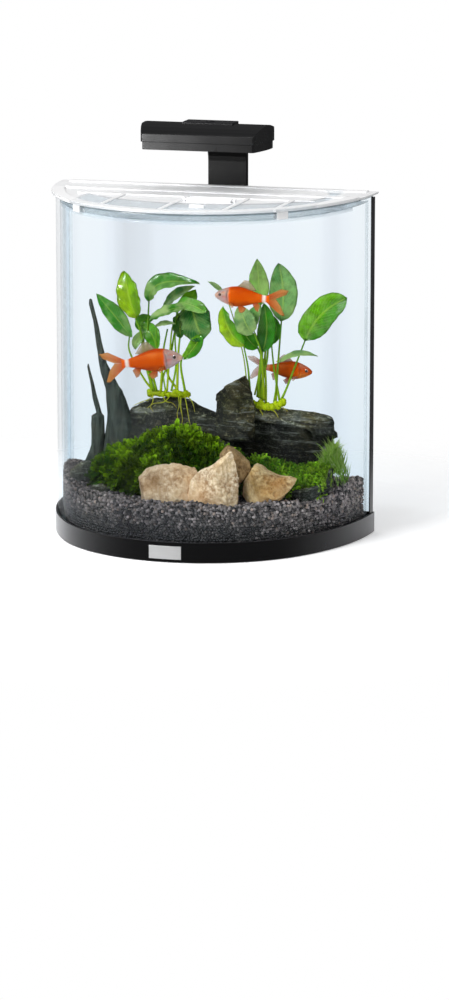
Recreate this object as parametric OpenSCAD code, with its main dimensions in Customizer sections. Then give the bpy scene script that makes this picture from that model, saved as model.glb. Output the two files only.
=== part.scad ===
// Half-moon nano aquarium: bent front glass, flat rear glass, black base tray,
// clear two-part cover with a feeding flap, and a tilting lamp on a rear post.
// Millimetres, +Z up, front is -Y, origin on the floor below the middle of the base.

/* [Tank] */
// outer width of the base tray
tank_w = 400; // [360:1:440]
// outer depth of the base tray
tank_d = 240; // [220:1:270]
// radius of the two side curves
side_r = 288; // [275:1:310]
// height of the top edge of the glass
glass_top = 420.5; // [380:0.5:440]
// thickness of the wall glass
glass_t = 5; // [4:0.5:8]
// height of the base tray
tray_h = 25; // [20:1:35]

/* [Cover] */
// thickness of the cover plates
cover_t = 2; // [1.5:0.5:4]
// how far the cover reaches past the tray outline
cover_over = 2; // [0:0.5:4]
// line where the lift-off part meets the fixed rear part
cover_split = 58; // [50:1:70]
// width of the feeding flap
flap_w = 66; // [50:1:80]
// middle of the feeding flap
flap_x = 29; // [-20:1:40]

/* [Lamp] */
// middle of the lamp and its post
lamp_x = 11; // [-60:1:60]
// width of the post
post_w = 49; // [40:1:60]
// height of the lamp underside
lamp_z = 480; // [470:1:500]
// diameter of the tilt pin
pin_d = 4; // [3:0.5:6]

/* [Bed] */
// height of the gravel at the middle of the tank
bed_z = 64; // [50:1:75]
// slope of the gravel towards the back, degrees
bed_slope = 2.86; // [0:0.1:5]

/* [Hidden] */
$fn = 48;
yr = tank_d/2;
hw = tank_w/2;
shift_y = -5;
fc = (pow(side_r-hw,2) - pow(side_r-tank_d,2)) / (2*(side_r-tank_d));
front_r = tank_d - fc;
fcy = yr - fc;
turn = atan2(fc, side_r-hw);
gi = 3;
wi = gi + glass_t;
glass_rear = yr - gi;
wall_rear = glass_rear - glass_t;
cover_z = glass_top + 1.5;
cover_top = cover_z + cover_t;
hinge_y = 90;
hinge_z = lamp_z + 9;
head_x = lamp_x - 6.5;
plate_x = lamp_x - 2.5;
flap_y = -24;
flap_z = cover_top + 2.3;

// ---------- plan outline: three arcs closed by a straight rear line ----------
function dhalf(o, rear) =
  let (r2 = side_r - o, r1 = front_r - o, t0 = asin((yr-rear)/r2))
  concat(
    [for (i=[0:12]) let (t = t0 + (turn-t0)*i/12) [hw-side_r + r2*cos(t), yr - r2*sin(t)]],
    [for (i=[1:16]) let (t = turn + (90-turn)*i/16) [r1*cos(t), fcy - r1*sin(t)]]);
function dpts(o, rear) =
  let (h = dhalf(o, rear), n = len(h))
  concat(h, [for (i=[n-2:-1:0]) [-h[i][0], h[i][1]]]);
module dplate(o, rear, z0, z1) {
  translate([0,0,z0]) linear_extrude(z1-z0) polygon(dpts(o, rear));
}
module box(x0,x1,y0,y1,z0,z1) { translate([x0,y0,z0]) cube([x1-x0,y1-y0,z1-z0]); }
module slab_y(p,y0,y1) { translate([0,y1,0]) rotate([90,0,0]) linear_extrude(y1-y0) polygon(p); }
module slab_x(p,x0,x1) { translate([x0,0,0]) rotate([90,0,90]) linear_extrude(x1-x0) polygon(p); }
module slab_z(p,z0,z1) { translate([0,0,z0]) linear_extrude(z1-z0) polygon(p); }
module above_bed(g=0.03) {
  translate([0,0,bed_z+g]) rotate([bed_slope,0,0]) translate([-250,-250,0]) cube([500,500,330]);
}
module rod(a, b, r) {
  v = b - a; l = norm(v);
  translate(a) rotate([0, acos(v[2]/l), atan2(v[1], v[0])]) cylinder(h=l, r=r, $fn=16);
}

// ---------- base ----------
foot_at = [[150,108],[-150,108],[121,-57.8],[-121,-57.8]];
module base_tray() color([0.03,0.03,0.035]) difference() {
  dplate(0, yr, 0.8, tray_h);
  dplate(gi-0.15, glass_rear+0.15, 6, tray_h+1);
  dplate(23, yr-23, 0, 7);
  for (p=foot_at) translate([p[0],p[1],-1]) cylinder(h=4.2, d=14.1);
}
module foot_pads() color([0.1,0.1,0.1])
  for (p=foot_at) translate([p[0],p[1],0]) cylinder(h=3.2, d=14);
module bottom_glass() color([0.8,0.93,0.95,0.4]) dplate(wi+0.2, wall_rear-0.2, 6, 12);
module front_glass() color([0.8,0.93,0.97,0.3]) difference() {
  dplate(gi, wall_rear-0.1, 6, glass_top);
  dplate(wi, wall_rear+20-20, 5, glass_top+1);
  box(-185, 185, 90, 130, 5, glass_top+1);
}
module rear_glass() color([0.8,0.93,0.97,0.3]) box(-196.5,196.5, wall_rear, glass_rear, 6, glass_top);
module silicone_seams() color([0.75,0.78,0.8]) {
  difference() {
    dplate(wi+0.1, wall_rear-0.1, 12.02, 15);
    dplate(wi+3, wall_rear-3, 11, 16);
  }
  for (s=[1,-1]) slab_z([[s*191.6,wall_rear-0.05],[s*187.6,wall_rear-0.05],[s*191.45,wall_rear-4]], 15, glass_top-6);
}
module rear_trim(s) color([0.03,0.03,0.03])
  slab_z([[s*197.15,104],[s*198.4,104],[s*198.4,118.4],[s*193.6,118.4],[s*193.6,117.1],[s*197.15,117.1]], tray_h+0.1, 418);
module rear_trim_left() rear_trim(-1);
module rear_trim_right() rear_trim(1);
module badge_plate() color([0.75,0.75,0.77]) intersection() {
  translate([0,fcy,4.5]) difference() {
    cylinder(h=16, r=front_r+0.9, $fn=180);
    translate([0,0,-1]) cylinder(h=18, r=front_r+0.05, $fn=180);
  }
  box(-19, 21, -130, -100, 0, 30);
}

// ---------- cover ----------
module flap_hole(m) { box(flap_x-flap_w/2-m, flap_x+flap_w/2+m, -82-m, -26+m, cover_z-5, cover_top+5); }
module cover_lid() color([0.93,0.95,0.97,0.5]) difference() {
  union() {
    dplate(-cover_over, cover_split, cover_z, cover_top);
    // raised border
    difference() {
      dplate(-cover_over+1, cover_split-1, cover_z, cover_top+1.2);
      dplate(14, cover_split-8, cover_z-1, cover_top+3);
    }
    // locating skirt inside the glass
    difference() {
      dplate(wi+1.9, 48, 417.5, cover_z+0.5);
      dplate(wi+3.6, 60, 417, cover_z);
      box(-200,200,45,60,416,cover_z-0.001);
    }
    // ribs between the front windows
    box(-92,-86,-92,10,cover_z,cover_top+1.2);
    box(-12,-6,-112,10,cover_z,cover_top+1.2);
    box(flap_x+flap_w/2+2,flap_x+flap_w/2+8,-102,10,cover_z,cover_top+1.2);
    box(120,126,-75,10,cover_z,cover_top+1.2);
    // raised edge of the middle field
    slab_z([[-148,10],[150,10],[150,13],[-148,13]], cover_z, cover_top+1.2);
    // ledge below the flap
    box(flap_x-flap_w/2-3, flap_x+flap_w/2+3, -86, -23, 420.3, cover_z+0.5);
    // hinge ears
    for (s=[-1,1]) translate([flap_x+s*(flap_w/2-1.6)-1.4, flap_y, flap_z]) {
      rotate([0,90,0]) cylinder(h=2.8, r=2.6);
      translate([0,-0.9,-3]) cube([2.8,3.5,3]);
    }
  }
  difference() {
    flap_hole(0.5);
    box(-200,200,-200,200,420,cover_z-0.05);
    for (s=[-1,1]) translate([flap_x+s*(flap_w/2-1.6)-1.4, flap_y-0.9, cover_z-1]) cube([2.8,5,20]);
  }
  box(flap_x-flap_w/2+4, flap_x+flap_w/2-4, -78, -30, 419, cover_z+1);
  // pin holes
  translate([flap_x-flap_w/2-10, flap_y, flap_z]) rotate([0,90,0]) cylinder(h=flap_w+20, d=1.8, $fn=32);
}
module feeding_flap() color([0.93,0.95,0.97,0.5]) difference() {
  union() {
    box(flap_x-flap_w/2, flap_x+flap_w/2, -82, -29, cover_z, cover_top);
    box(flap_x-flap_w/2+5, flap_x+flap_w/2-5, -29.5, -26, cover_z, cover_top);
    box(flap_x-flap_w/2+5, flap_x+flap_w/2-5, -28.5, -25.55, cover_top-0.5, flap_z+0.5);
    translate([flap_x-flap_w/2+5, flap_y, flap_z]) rotate([0,90,0]) cylinder(h=flap_w-10, r=2.2);
  }
  translate([flap_x-flap_w/2-1, flap_y, flap_z]) rotate([0,90,0]) cylinder(h=flap_w+2, d=1.9, $fn=32);
}
module flap_pin() color([0.75,0.75,0.77])
  translate([flap_x-flap_w/2+0.2, flap_y, flap_z]) rotate([0,90,0]) cylinder(h=flap_w-0.4, d=1.8, $fn=32);
module flap_grip() color([0.9,0.93,0.95])
  slab_x([[-80,cover_top+0.01],[-74,cover_top+0.01],[-75.5,cover_top+4],[-78.5,cover_top+4]], flap_x-9, flap_x+9);
module lid_clips() color([0.97,0.97,0.97])
  for (a=[-43,46]) translate([0,fcy,0]) rotate([0,0,a]) {
    box(-7.5,7.5,-(front_r-gi)-1.7,-(front_r-wi)+1.6, glass_top+0.02, cover_z-0.02);
    box(-7.5,7.5,-(front_r-gi)-1.7,-(front_r-gi)-0.1, glass_top-8, glass_top+0.5);
    box(-7.5,7.5,-(front_r-wi)+0.25,-(front_r-wi)+1.6, glass_top-8, glass_top+0.5);
  }
module rear_bridge() color([0.93,0.95,0.97,0.5]) difference() {
  union() {
    intersection() {
      dplate(-cover_over, yr, cover_z, cover_top);
      box(-250,250,cover_split+1,200,0,600);
    }
    box(-202.0,202.0,yr-1,yr+1,cover_z,cover_top);
    // raised bar along the rear and along the split
    box(-190,190,yr-12,yr,cover_top-0.5,cover_top+1.2);
    box(-180,180,cover_split+1,cover_split+4,cover_top-0.5,cover_top+1.2);
    // seat on the side walls
    intersection() {
      difference() {
        dplate(gi, wall_rear, glass_top+0.02, cover_z+0.5);
        dplate(wi, wall_rear+1, 0, 600);
      }
      box(-250,250,cover_split+4,wall_rear,0,600);
    }
    // hook over the rear glass
    box(-180,180,wall_rear-4,yr+1,glass_top+0.02,cover_z+0.5);
    box(-180,180,wall_rear-4,wall_rear-0.2,412,cover_z);
    box(-180,180,glass_rear+0.2,yr+1,412,cover_z);
    // ledge that carries the rear edge of the lid
    box(-150,150,cover_split-6,cover_split+6,cover_z-1.7,cover_z-0.05);
    box(-150,150,cover_split+1,cover_split+6,cover_z-1.7,cover_z+0.5);
    // socket block for the lamp post
    box(lamp_x-post_w/2-3, lamp_x+post_w/2+3, glass_rear+0.2, 129, 408, cover_top);
  }
  box(lamp_x-20.1, lamp_x+20.1, 119.4, 124.6, 409.5, cover_top+5);
  box(lamp_x-post_w/2-0.1, lamp_x+post_w/2+0.1, 117.9, 126.1, cover_top, cover_top+5);
  for (s=[-1,1]) translate([lamp_x+s*11, 140, 416]) rotate([90,0,0]) cylinder(h=20, d=3.1, $fn=32);
}

// ---------- lamp ----------
arm_side = [[118,cover_top+0.02],[126,cover_top+0.02],[126,463],[124,470],[119,477],[112,483],[104,488],[100,490],
  [100,482],[105,478.5],[110,474],[115,467.5],[117.3,461],[118,455]];
module lamp_arm() color([0.05,0.05,0.055]) difference() {
  union() {
    slab_x(arm_side, lamp_x-post_w/2, lamp_x+post_w/2);
    slab_x([[101,481.5],[101,489.7],[96,492],[90,495.5],[86,489],[90,482.5],[96,481.8]], lamp_x-13, lamp_x+13);
    translate([lamp_x-13, hinge_y, hinge_z]) rotate([0,90,0]) cylinder(h=26, r=6.5);
    box(lamp_x-20, lamp_x+20, 119.5, 124.5, 410, cover_top+1);
  }
  translate([lamp_x-30, hinge_y, hinge_z]) rotate([0,90,0]) cylinder(h=60, d=pin_d+0.06, $fn=64);
  for (s=[-1,1]) translate([lamp_x+s*11, 140, 416]) rotate([90,0,0]) cylinder(h=30, d=3.1, $fn=32);
  translate([lamp_x, 130, 438]) rotate([90,0,0]) cylinder(h=8, d=6.1, $fn=32);
}
module arm_screws() color([0.6,0.6,0.62])
  for (s=[-1,1]) translate([lamp_x+s*11, 129.02, 416]) rotate([90,0,0]) {
    cylinder(h=9, d=3, $fn=32);
    difference() {
      translate([0,0,-2]) cylinder(h=2, d=5.6, $fn=32);
      translate([0,0,-3]) cylinder(h=2, d=2.5, $fn=6);
    }
  }
module cable_gland() color([0.04,0.04,0.04])
  translate([lamp_x, 126, 438]) rotate([-90,0,0]) difference() {
    union() {
      cylinder(h=2.5, d=11, $fn=6);
      cylinder(h=6, d=8);
      translate([0,0,-3]) cylinder(h=4, d=6, $fn=32);
    }
    translate([0,0,-4]) cylinder(h=12, d=3.6, $fn=32);
  }
module tilt_pin() color([0.6,0.6,0.62])
  translate([lamp_x-21, hinge_y, hinge_z]) rotate([0,90,0]) cylinder(h=42, d=pin_d, $fn=64);

// head outline seen from above, about the head middle: wider at the back than at the front
head_half = [[69.3,8],[71,9],[72.3,12],[75,22],[79,42],[80.5,58],[80,68],[77.5,75],[73,79.5],[66,82]];
function head_pts(o) = let (n=len(head_half)) concat(
  [for (i=[0:n-1]) [head_x+head_half[i][0]-o*(head_half[i][0]>70?1:0.6), 45+(head_half[i][1]-45)*(1-o/37)]],
  [for (i=[n-1:-1:0]) [head_x-head_half[i][0]+o*(head_half[i][0]>70?1:0.6), 45+(head_half[i][1]-45)*(1-o/37)]]);
seam_z = lamp_z + 9.5;
screw_at = [[-67.5,30],[67.5,30],[-67.5,60],[67.5,60]];
module lamp_upper_shell() color([0.04,0.04,0.045]) difference() {
  union() {
    intersection() {
      slab_z(head_pts(0), seam_z+0.02, seam_z+22);
      slab_x([[7,seam_z],[7,498.6],[8,499],[10,500.8],[14,503],[22,506.4],[32,509],[45,510.1],[58,509],[68,506.4],
        [76,503],[80,500.8],[82,499],[83,498.6],[83,seam_z]], lamp_x-90, lamp_x+90);
      slab_y([[head_x-81,seam_z],[head_x-80.7,500],[head_x-79.6,505],[head_x-77.8,508.6],[head_x-75.5,512],
        [head_x+75.5,512],[head_x+77.8,508.6],[head_x+79.6,505],[head_x+80.7,500],[head_x+81,seam_z]], 0, 90);
    }
    for (s=[-1,1]) translate([lamp_x+s*16.5-3, 0, 0]) {
      translate([0,hinge_y,hinge_z]) rotate([0,90,0]) cylinder(h=6, r=5.8);
      box(0,6,80,hinge_y,seam_z+0.6,hinge_z+5.8);
    }
  }
  difference() {
    box(head_x-61, head_x+61, 20, 70, seam_z-1, 503);
    for (x=[-52,52], y=[28,62]) translate([head_x+x, y, 487.7]) cylinder(h=30, d=6, $fn=32);
  }
  box(plate_x-31.55, plate_x+31.55, 37.95, 66.05, 505.2, 515);
  for (p=screw_at) translate([head_x+p[0], p[1], 480]) cylinder(h=19, d=3, $fn=32);
  translate([lamp_x-30, hinge_y, hinge_z]) rotate([0,90,0]) cylinder(h=60, d=pin_d, $fn=64);
}
module lamp_lower_shell() color([0.05,0.05,0.055]) difference() {
  slab_z(head_pts(1.6), lamp_z, seam_z);
  box(head_x-61, head_x+61, 15, 75, 484, seam_z+1);
  box(head_x-60, head_x+60, 18, 72, 481.5, 485);
  box(head_x-57, head_x+57, 21, 69, 479, 482);
  for (p=screw_at) translate([head_x+p[0], p[1], 479]) {
    cylinder(h=12, d=3.2, $fn=32);
    cylinder(h=3.2, d=5.9, $fn=32);
  }
}
module shell_screws() color([0.6,0.6,0.62])
  for (p=screw_at) translate([head_x+p[0], p[1], 482.18]) {
    cylinder(h=14, d=3, $fn=32);
    difference() {
      translate([0,0,-1.8]) cylinder(h=1.8, d=5.5, $fn=32);
      translate([0,0,-3]) cylinder(h=2, d=2.5, $fn=6);
    }
  }
module lamp_diffuser() color([0.97,0.98,1,0.8]) box(head_x-59.8, head_x+59.8, 18.2, 71.8, 481.52, 483.5);
module led_board() color([0.85,0.87,0.85]) box(head_x-58, head_x+58, 24, 66, 486.1, 487.65);
module led_chips() color([1,0.95,0.75])
  for (i=[0:7], y=[35,55]) box(head_x-54+i*15-0.5, head_x-54+i*15+4.5, y-2.5, y+2.5, 484.9, 486.08);
module lamp_top_plate() color([0.03,0.03,0.03]) difference() {
  slab_x([[38,505.22],[38,510.7],[39.2,511.6],[64.8,511.6],[66,510.7],[66,505.22]], plate_x-31.5, plate_x+31.5);
  translate([plate_x, 52, 500]) cylinder(h=20, d=10.2);
}
module lamp_button() color([0.1,0.1,0.11]) translate([plate_x, 52, 508.6]) difference() {
  cylinder(h=3.6, d=10);
  translate([0,0,3.2]) cylinder(h=1, d=7);
}

// ---------- contents ----------
module gravel_bed() color([0.25,0.23,0.22]) {
  intersection() {
    dplate(wi+0.3, wall_rear-4.4, 15.1, 100);
    translate([0,0,bed_z]) rotate([bed_slope,0,0]) translate([-250,-250,-80]) cube([500,500,80]);
  }
  dplate(wi+3.4, wall_rear-4.4, 12.05, 15.2);
}
module sandstone_a() color([0.78,0.66,0.48]) intersection() {
  slab_y([[-49,50],[-49,86],[-43,99],[-29,105],[-4,109],[8,108],[14,100],[13.8,50]], -84, -42);
  slab_z([[-49,-62],[-38,-78],[-10,-84],[13.5,-78],[13.8,-50],[-2,-43],[-36,-44],[-49,-54]], 40, 200);
  slab_x([[-84,50],[-84,78],[-74,98],[-60,110],[-50,106],[-42,88],[-42,50]], -60, 60);
  above_bed();
}
module sandstone_b() color([0.8,0.68,0.5]) intersection() {
  slab_y([[14.5,50],[15,70],[19,94],[30,104],[58,122],[69,129],[74,110],[79,97],[79,50]], -90, -48);
  slab_z([[15,-70],[26,-86],[52,-90],[76,-80],[79,-62],[76,-50],[40,-48],[15,-54]], 40, 200);
  slab_x([[-90,50],[-90,72],[-78,104],[-64,124],[-56,130],[-48,118],[-48,50]], -60, 100);
  above_bed();
}
module sandstone_c() color([0.72,0.58,0.4]) intersection() {
  slab_y([[40,50],[39,120],[51,130],[66,118],[79,108],[79,50]], -46, -16);
  slab_z([[40,-40],[50,-46],[76,-44],[79,-30],[72,-16],[46,-17],[40,-26]], 40, 200);
  above_bed();
}
module sandstone_d() color([0.78,0.62,0.42]) intersection() {
  slab_y([[79.5,50],[79.5,97],[91,108],[104,99],[121,94],[137,92],[131,82],[118,50]], -62, -20);
  slab_z([[79.5,-50],[92,-61],[116,-58],[134,-44],[137,-34],[120,-22],[92,-20],[79.5,-30]], 40, 200);
  slab_x([[-62,50],[-62,72],[-54,90],[-40,110],[-28,104],[-20,86],[-20,50]], 60, 150);
  above_bed();
}
module slate_mound() color([0.2,0.21,0.19]) intersection() {
  slab_y([[-80,50],[-79,152],[-67,163],[-51,169],[-10,169],[7,164],[20,160],[24,134],[24,50]], 28, 72);
  slab_z([[-79,32],[-60,28],[10,29],[24,36],[24,66],[-20,72],[-72,68],[-79,56]], 40, 200);
  above_bed();
}
module slate_upright() color([0.22,0.21,0.17]) intersection() {
  slab_y([[26,50],[26,160],[22,178],[30,188],[44,196],[56,202],[63,192],[65,170],[66,50]], 30, 54.5);
  slab_z([[24.5,34],[44,30],[66,33],[66,53],[40,54.5],[24.5,51]], 40, 250);
  above_bed();
}
module slate_slab() color([0.17,0.19,0.18]) intersection() {
  slab_y([[27,50],[27,135],[48,166],[98,166],[112,160],[140,153],[157,150],[162,134],[157,112],[152,98],[130,92],[112,50]], 58, 99);
  slab_z([[27,62],[60,58],[120,59],[152,64],[162,76],[156,92],[120,99],[44,98],[27,90]], 40, 200);
  above_bed();
}
module slate_chips() color([0.2,0.2,0.19]) intersection() {
  union() {
    slab_z([[164,60],[172,57],[179,64],[178,76],[168,78],[163,70]], 50, 84);
    slab_z([[112,6],[126,2],[138,8],[134,16],[118,17]], 50, 78);
    slab_z([[-160,18],[-146,12],[-132,18],[-130,29],[-146,33],[-158,30]], 50, 88);
  }
  slab_y([[-165,50],[-158,80],[-145,88],[-130,80],[100,78],[118,77],[140,70],[165,78],[172,84],[181,76],[181,50]], 0, 90);
  above_bed();
}
module driftwood() color([0.3,0.31,0.28]) intersection() {
  union() {
    slab_y([[-127,50],[-128,146],[-132,209],[-138,262],[-141,287],[-136,288],[-130,258],[-119,209],[-103,175],[-92,147],[-83,128],[-82,50]], 34, 46);
    slab_y([[-142,50],[-141,140],[-146,205],[-142,205],[-138,183],[-131,148],[-126,142],[-120,50]], 36, 46);
  }
  slab_x([[28,50],[30,120],[36,200],[38,290],[43,290],[46,120],[46,50]], -170, -80);
  above_bed();
}
module moss_left() color([0.16,0.3,0.06]) intersection() {
  slab_y([[-124,50],[-124,104],[-116,120],[-86,136],[-54,142],[-15,152],[10,150],[40,142],[70,124],[72,110],[72,50]], -36, 26);
  slab_z([[-124,-10],[-112,-28],[-60,-36],[20,-36],[36,-30],[37,-12],[72,-10],[72,24],[-80,26],[-118,24]], 40, 200);
  slab_x([[-36,50],[-36,84],[-22,118],[0,146],[12,154],[26,156],[26,50]], -130, 80);
  above_bed();
}
module moss_right() color([0.2,0.42,0.08]) intersection() {
  slab_y([[74,50],[74,122],[100,112],[132,104],[154,118],[160,112],[160,50]], 19, 55);
  slab_z([[74,24],[90,19],[140,22],[158,30],[160,44],[150,55],[74,55]], 40, 200);
  slab_x([[19,50],[19,76],[28,96],[44,124],[55,126],[55,50]], 60, 200);
  above_bed();
}

leaf_half = [[0,0],[0.12,0.22],[0.3,0.43],[0.48,0.5],[0.66,0.42],[0.84,0.22],[1,0]];
module leaf(b, t, w, roll) {
  v = t - b; l = norm(v); n = len(leaf_half);
  translate(b) rotate([roll, -asin(v[2]/l), atan2(v[1],v[0])]) translate([0,0,-0.6]) linear_extrude(1.2)
    polygon(concat([for (i=[0:n-1]) [l*leaf_half[i][0], w*leaf_half[i][1]]],
                   [for (i=[n-2:-1:1]) [l*leaf_half[i][0], -w*leaf_half[i][1]]]));
}
// rows: leaf base, leaf tip, width, roll about its own length, foot of the stem
left_leaves = [
  [[-81,20,250],[-126,12,300],22,80,[-60,44,174]],
  [[-88,34,276],[-97,30,325],28,90,[-56,45,174]],
  [[-64,40,288],[-6,44,320],20,60,[-52,45,174]],
  [[-49,56,284],[-12,58,311],20,70,[-46,46,174]],
  [[-60,24,268],[-20,22,282],14,50,[-40,44,174]],
  [[-14,36,240],[-6,34,296],40,90,[-30,45,174]],
  [[-18,28,243],[3,20,222],20,100,[-24,45,174]],
  [[-62,33,232],[-52,31,270],22,90,[-36,44,174]]];
right_leaves = [
  [[75,62,286],[66,62,343],21,90,[62,70,170]],
  [[98,70,268],[99,72,338],32,90,[80,71,170]],
  [[46,40,232],[29,34,288],20,84,[48,69,170]],
  [[61,32,250],[61,30,292],22,90,[54,69,170]],
  [[80,48,236],[83,47,289],17,90,[70,70,170]],
  [[124,60,240],[168,62,299],34,90,[86,70,170]],
  [[97,42,218],[148,40,232],9,40,[76,69,170]]];
module plant(rows, r0, r1) {
  rod(r0, r1, 3.8);
  for (q=rows) { leaf(q[0],q[1],q[2],q[3]); rod(q[4], q[0]+(q[1]-q[0])*0.06, 1.2); }
}
module anubias_left() color([0.2,0.45,0.08]) {
  plant(left_leaves, [-66,45,173], [-16,46,173]);
}
module anubias_right() color([0.3,0.5,0.12]) {
  plant(right_leaves, [42,70,170], [94,71,170]);
}

// fish outline with the nose at the origin looking to +X
module fish() {
  intersection() {
    slab_y([[0,0],[-8,7],[-22,13],[-34,13.5],[-48,10],[-64,5],[-72,4.5],[-72,-5],[-62,-7],[-46,-11],[-30,-13],[-14,-9],[-4,-3.5]], -8, 8);
    slab_z([[0,1.2],[-8,4.5],[-22,7],[-34,7],[-52,4.2],[-72,1.4],[-72,-1.4],[-52,-4.2],[-34,-7],[-22,-7],[-8,-4.5],[0,-1.2]], -20, 20);
  }
  slab_y([[-70,4],[-84,8],[-101,13],[-96,4],[-86,-3],[-92,-16],[-97,-22],[-84,-16],[-70,-4]], -0.6, 0.6);
  slab_y([[-28,10],[-38,20],[-46,22],[-50,17],[-52,7]], -0.6, 0.6);
  slab_y([[-28,-10],[-34,-20],[-38,-20],[-38,-10]], -0.6, 0.6);
  slab_y([[-50,-8],[-54,-17],[-58,-18],[-60,-6]], -0.6, 0.6);
}
module goldfish_a() color([0.95,0.35,0.05]) translate([1,-50,229]) rotate([0,3,0]) fish();
module goldfish_b() color([0.95,0.4,0.05]) translate([41,-40,309]) rotate([0,3,180]) scale([0.92,0.92,0.92]) fish();
module goldfish_c() color([0.9,0.35,0.05]) translate([130,95,203]) rotate([0,2,0]) scale([0.8,0.8,0.8]) fish();

// moves the tank so the middle of everything stands over the origin
module placed() { translate([0, shift_y, 0]) children(); }

placed() base_tray();
placed() foot_pads();
placed() bottom_glass();
placed() front_glass();
placed() rear_glass();
placed() silicone_seams();
placed() rear_trim_left();
placed() rear_trim_right();
placed() badge_plate();
placed() cover_lid();
placed() lid_clips();
placed() feeding_flap();
placed() flap_pin();
placed() flap_grip();
placed() rear_bridge();
placed() lamp_arm();
placed() arm_screws();
placed() cable_gland();
placed() tilt_pin();
placed() lamp_upper_shell();
placed() lamp_lower_shell();
placed() shell_screws();
placed() lamp_diffuser();
placed() led_board();
placed() led_chips();
placed() lamp_top_plate();
placed() lamp_button();
placed() gravel_bed();
placed() sandstone_a();
placed() sandstone_b();
placed() sandstone_c();
placed() sandstone_d();
placed() slate_mound();
placed() slate_upright();
placed() slate_slab();
placed() slate_chips();
placed() driftwood();
placed() moss_left();
placed() moss_right();
placed() anubias_left();
placed() anubias_right();
placed() goldfish_a();
placed() goldfish_b();
placed() goldfish_c();
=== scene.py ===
import bpy
import math
import numpy as np
from mathutils import Matrix, Vector


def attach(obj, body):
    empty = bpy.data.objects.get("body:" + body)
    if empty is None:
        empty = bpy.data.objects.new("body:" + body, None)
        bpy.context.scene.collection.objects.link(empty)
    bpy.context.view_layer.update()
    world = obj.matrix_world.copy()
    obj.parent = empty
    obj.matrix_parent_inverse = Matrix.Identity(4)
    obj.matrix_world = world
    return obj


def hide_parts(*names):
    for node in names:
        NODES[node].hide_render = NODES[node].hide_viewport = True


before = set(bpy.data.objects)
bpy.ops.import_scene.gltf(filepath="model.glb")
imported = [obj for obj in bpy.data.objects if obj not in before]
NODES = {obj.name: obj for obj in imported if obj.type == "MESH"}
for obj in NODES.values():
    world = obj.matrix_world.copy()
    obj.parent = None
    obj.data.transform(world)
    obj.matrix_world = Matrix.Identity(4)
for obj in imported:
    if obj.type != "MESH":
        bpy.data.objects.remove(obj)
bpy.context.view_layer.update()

OFF = np.array([0.0, -0.005, 0.0])          # the plan's own middle line lies 5 mm behind the frame's
SC = bpy.context.scene


# ------------------------------------------------------------------ small helpers
def hashed(ix, iy, iz, s):
    n = (ix * 73856093) ^ (iy * 19349663) ^ (iz * 83492791) ^ (s * 2654435761)
    n = n & 0xFFFFFFFF
    n = ((n ^ (n >> 13)) * 1274126177) & 0xFFFFFFFF
    n = n ^ (n >> 16)
    return (n & 0xFFFF) / 65535.0


def vnoise(p, size, seed=0):
    q = np.asarray(p, float) / size
    i = np.floor(q).astype(np.int64)
    f = q - i
    f = f * f * f * (f * (f * 6 - 15) + 10)
    r = 0.0
    for a in (0, 1):
        for b in (0, 1):
            for c in (0, 1):
                w = (f[:, 0] if a else 1 - f[:, 0]) * (f[:, 1] if b else 1 - f[:, 1]) * (f[:, 2] if c else 1 - f[:, 2])
                r = r + w * hashed(i[:, 0] + a, i[:, 1] + b, i[:, 2] + c, seed)
    return r * 2 - 1


def fbm(p, size, octaves=4, seed=0, gain=0.5):
    r, a, t = 0.0, 1.0, 0.0
    for k in range(octaves):
        r = r + a * vnoise(p, size / 2 ** k, seed + 17 * k)
        t += a
        a *= gain
    return r / t


def smooth(a, b, x):
    t = np.clip((x - a) / (b - a), 0, 1)
    return t * t * (3 - 2 * t)


def unit(v):
    v = np.asarray(v, float)
    return v / np.maximum(np.linalg.norm(v, axis=-1, keepdims=True), 1e-12)


def vertex_normals(V, F):
    F3 = F if F.shape[1] == 3 else np.vstack([F[:, [0, 1, 2]], F[:, [0, 2, 3]]])
    n = np.cross(V[F3[:, 1]] - V[F3[:, 0]], V[F3[:, 2]] - V[F3[:, 0]])
    out = np.zeros_like(V)
    for k in range(3):
        np.add.at(out, F3[:, k], n)
    return unit(out)


def build(name, V, F, mat, slot, body="tank", is_smooth=True, cols=None, uvs=None, sharp=None, replaces=()):
    """V in millimetres in the plan's own frame, F rows of vertex numbers."""
    V = np.asarray(V, float)
    me = bpy.data.meshes.new(name)
    me.from_pydata((V / 1000 + OFF).tolist(), [], [list(f) for f in (F.tolist() if hasattr(F, "tolist") else F)])
    me.update()
    if cols is not None:
        c = np.ones((len(V), 4), np.float32)
        c[:, :cols.shape[1]] = cols
        at = me.color_attributes.new(name="tone", type="FLOAT_COLOR", domain="POINT")
        at.data.foreach_set("color", c.ravel())
    if uvs is not None:
        lay = me.uv_layers.new(name="UVMap")
        idx = np.zeros(len(me.loops), np.int32)
        me.loops.foreach_get("vertex_index", idx)
        lay.data.foreach_set("uv", np.asarray(uvs, np.float32)[idx].ravel())
    me.polygons.foreach_set("use_smooth", [is_smooth] * len(me.polygons))
    if sharp is not None and is_smooth:
        me.set_sharp_from_angle(angle=math.radians(sharp))
    me.materials.append(mat)
    o = bpy.data.objects.new(name, me)
    SC.collection.objects.link(o)
    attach(o, body)
    if replaces:
        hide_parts(*replaces)
    return o


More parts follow.
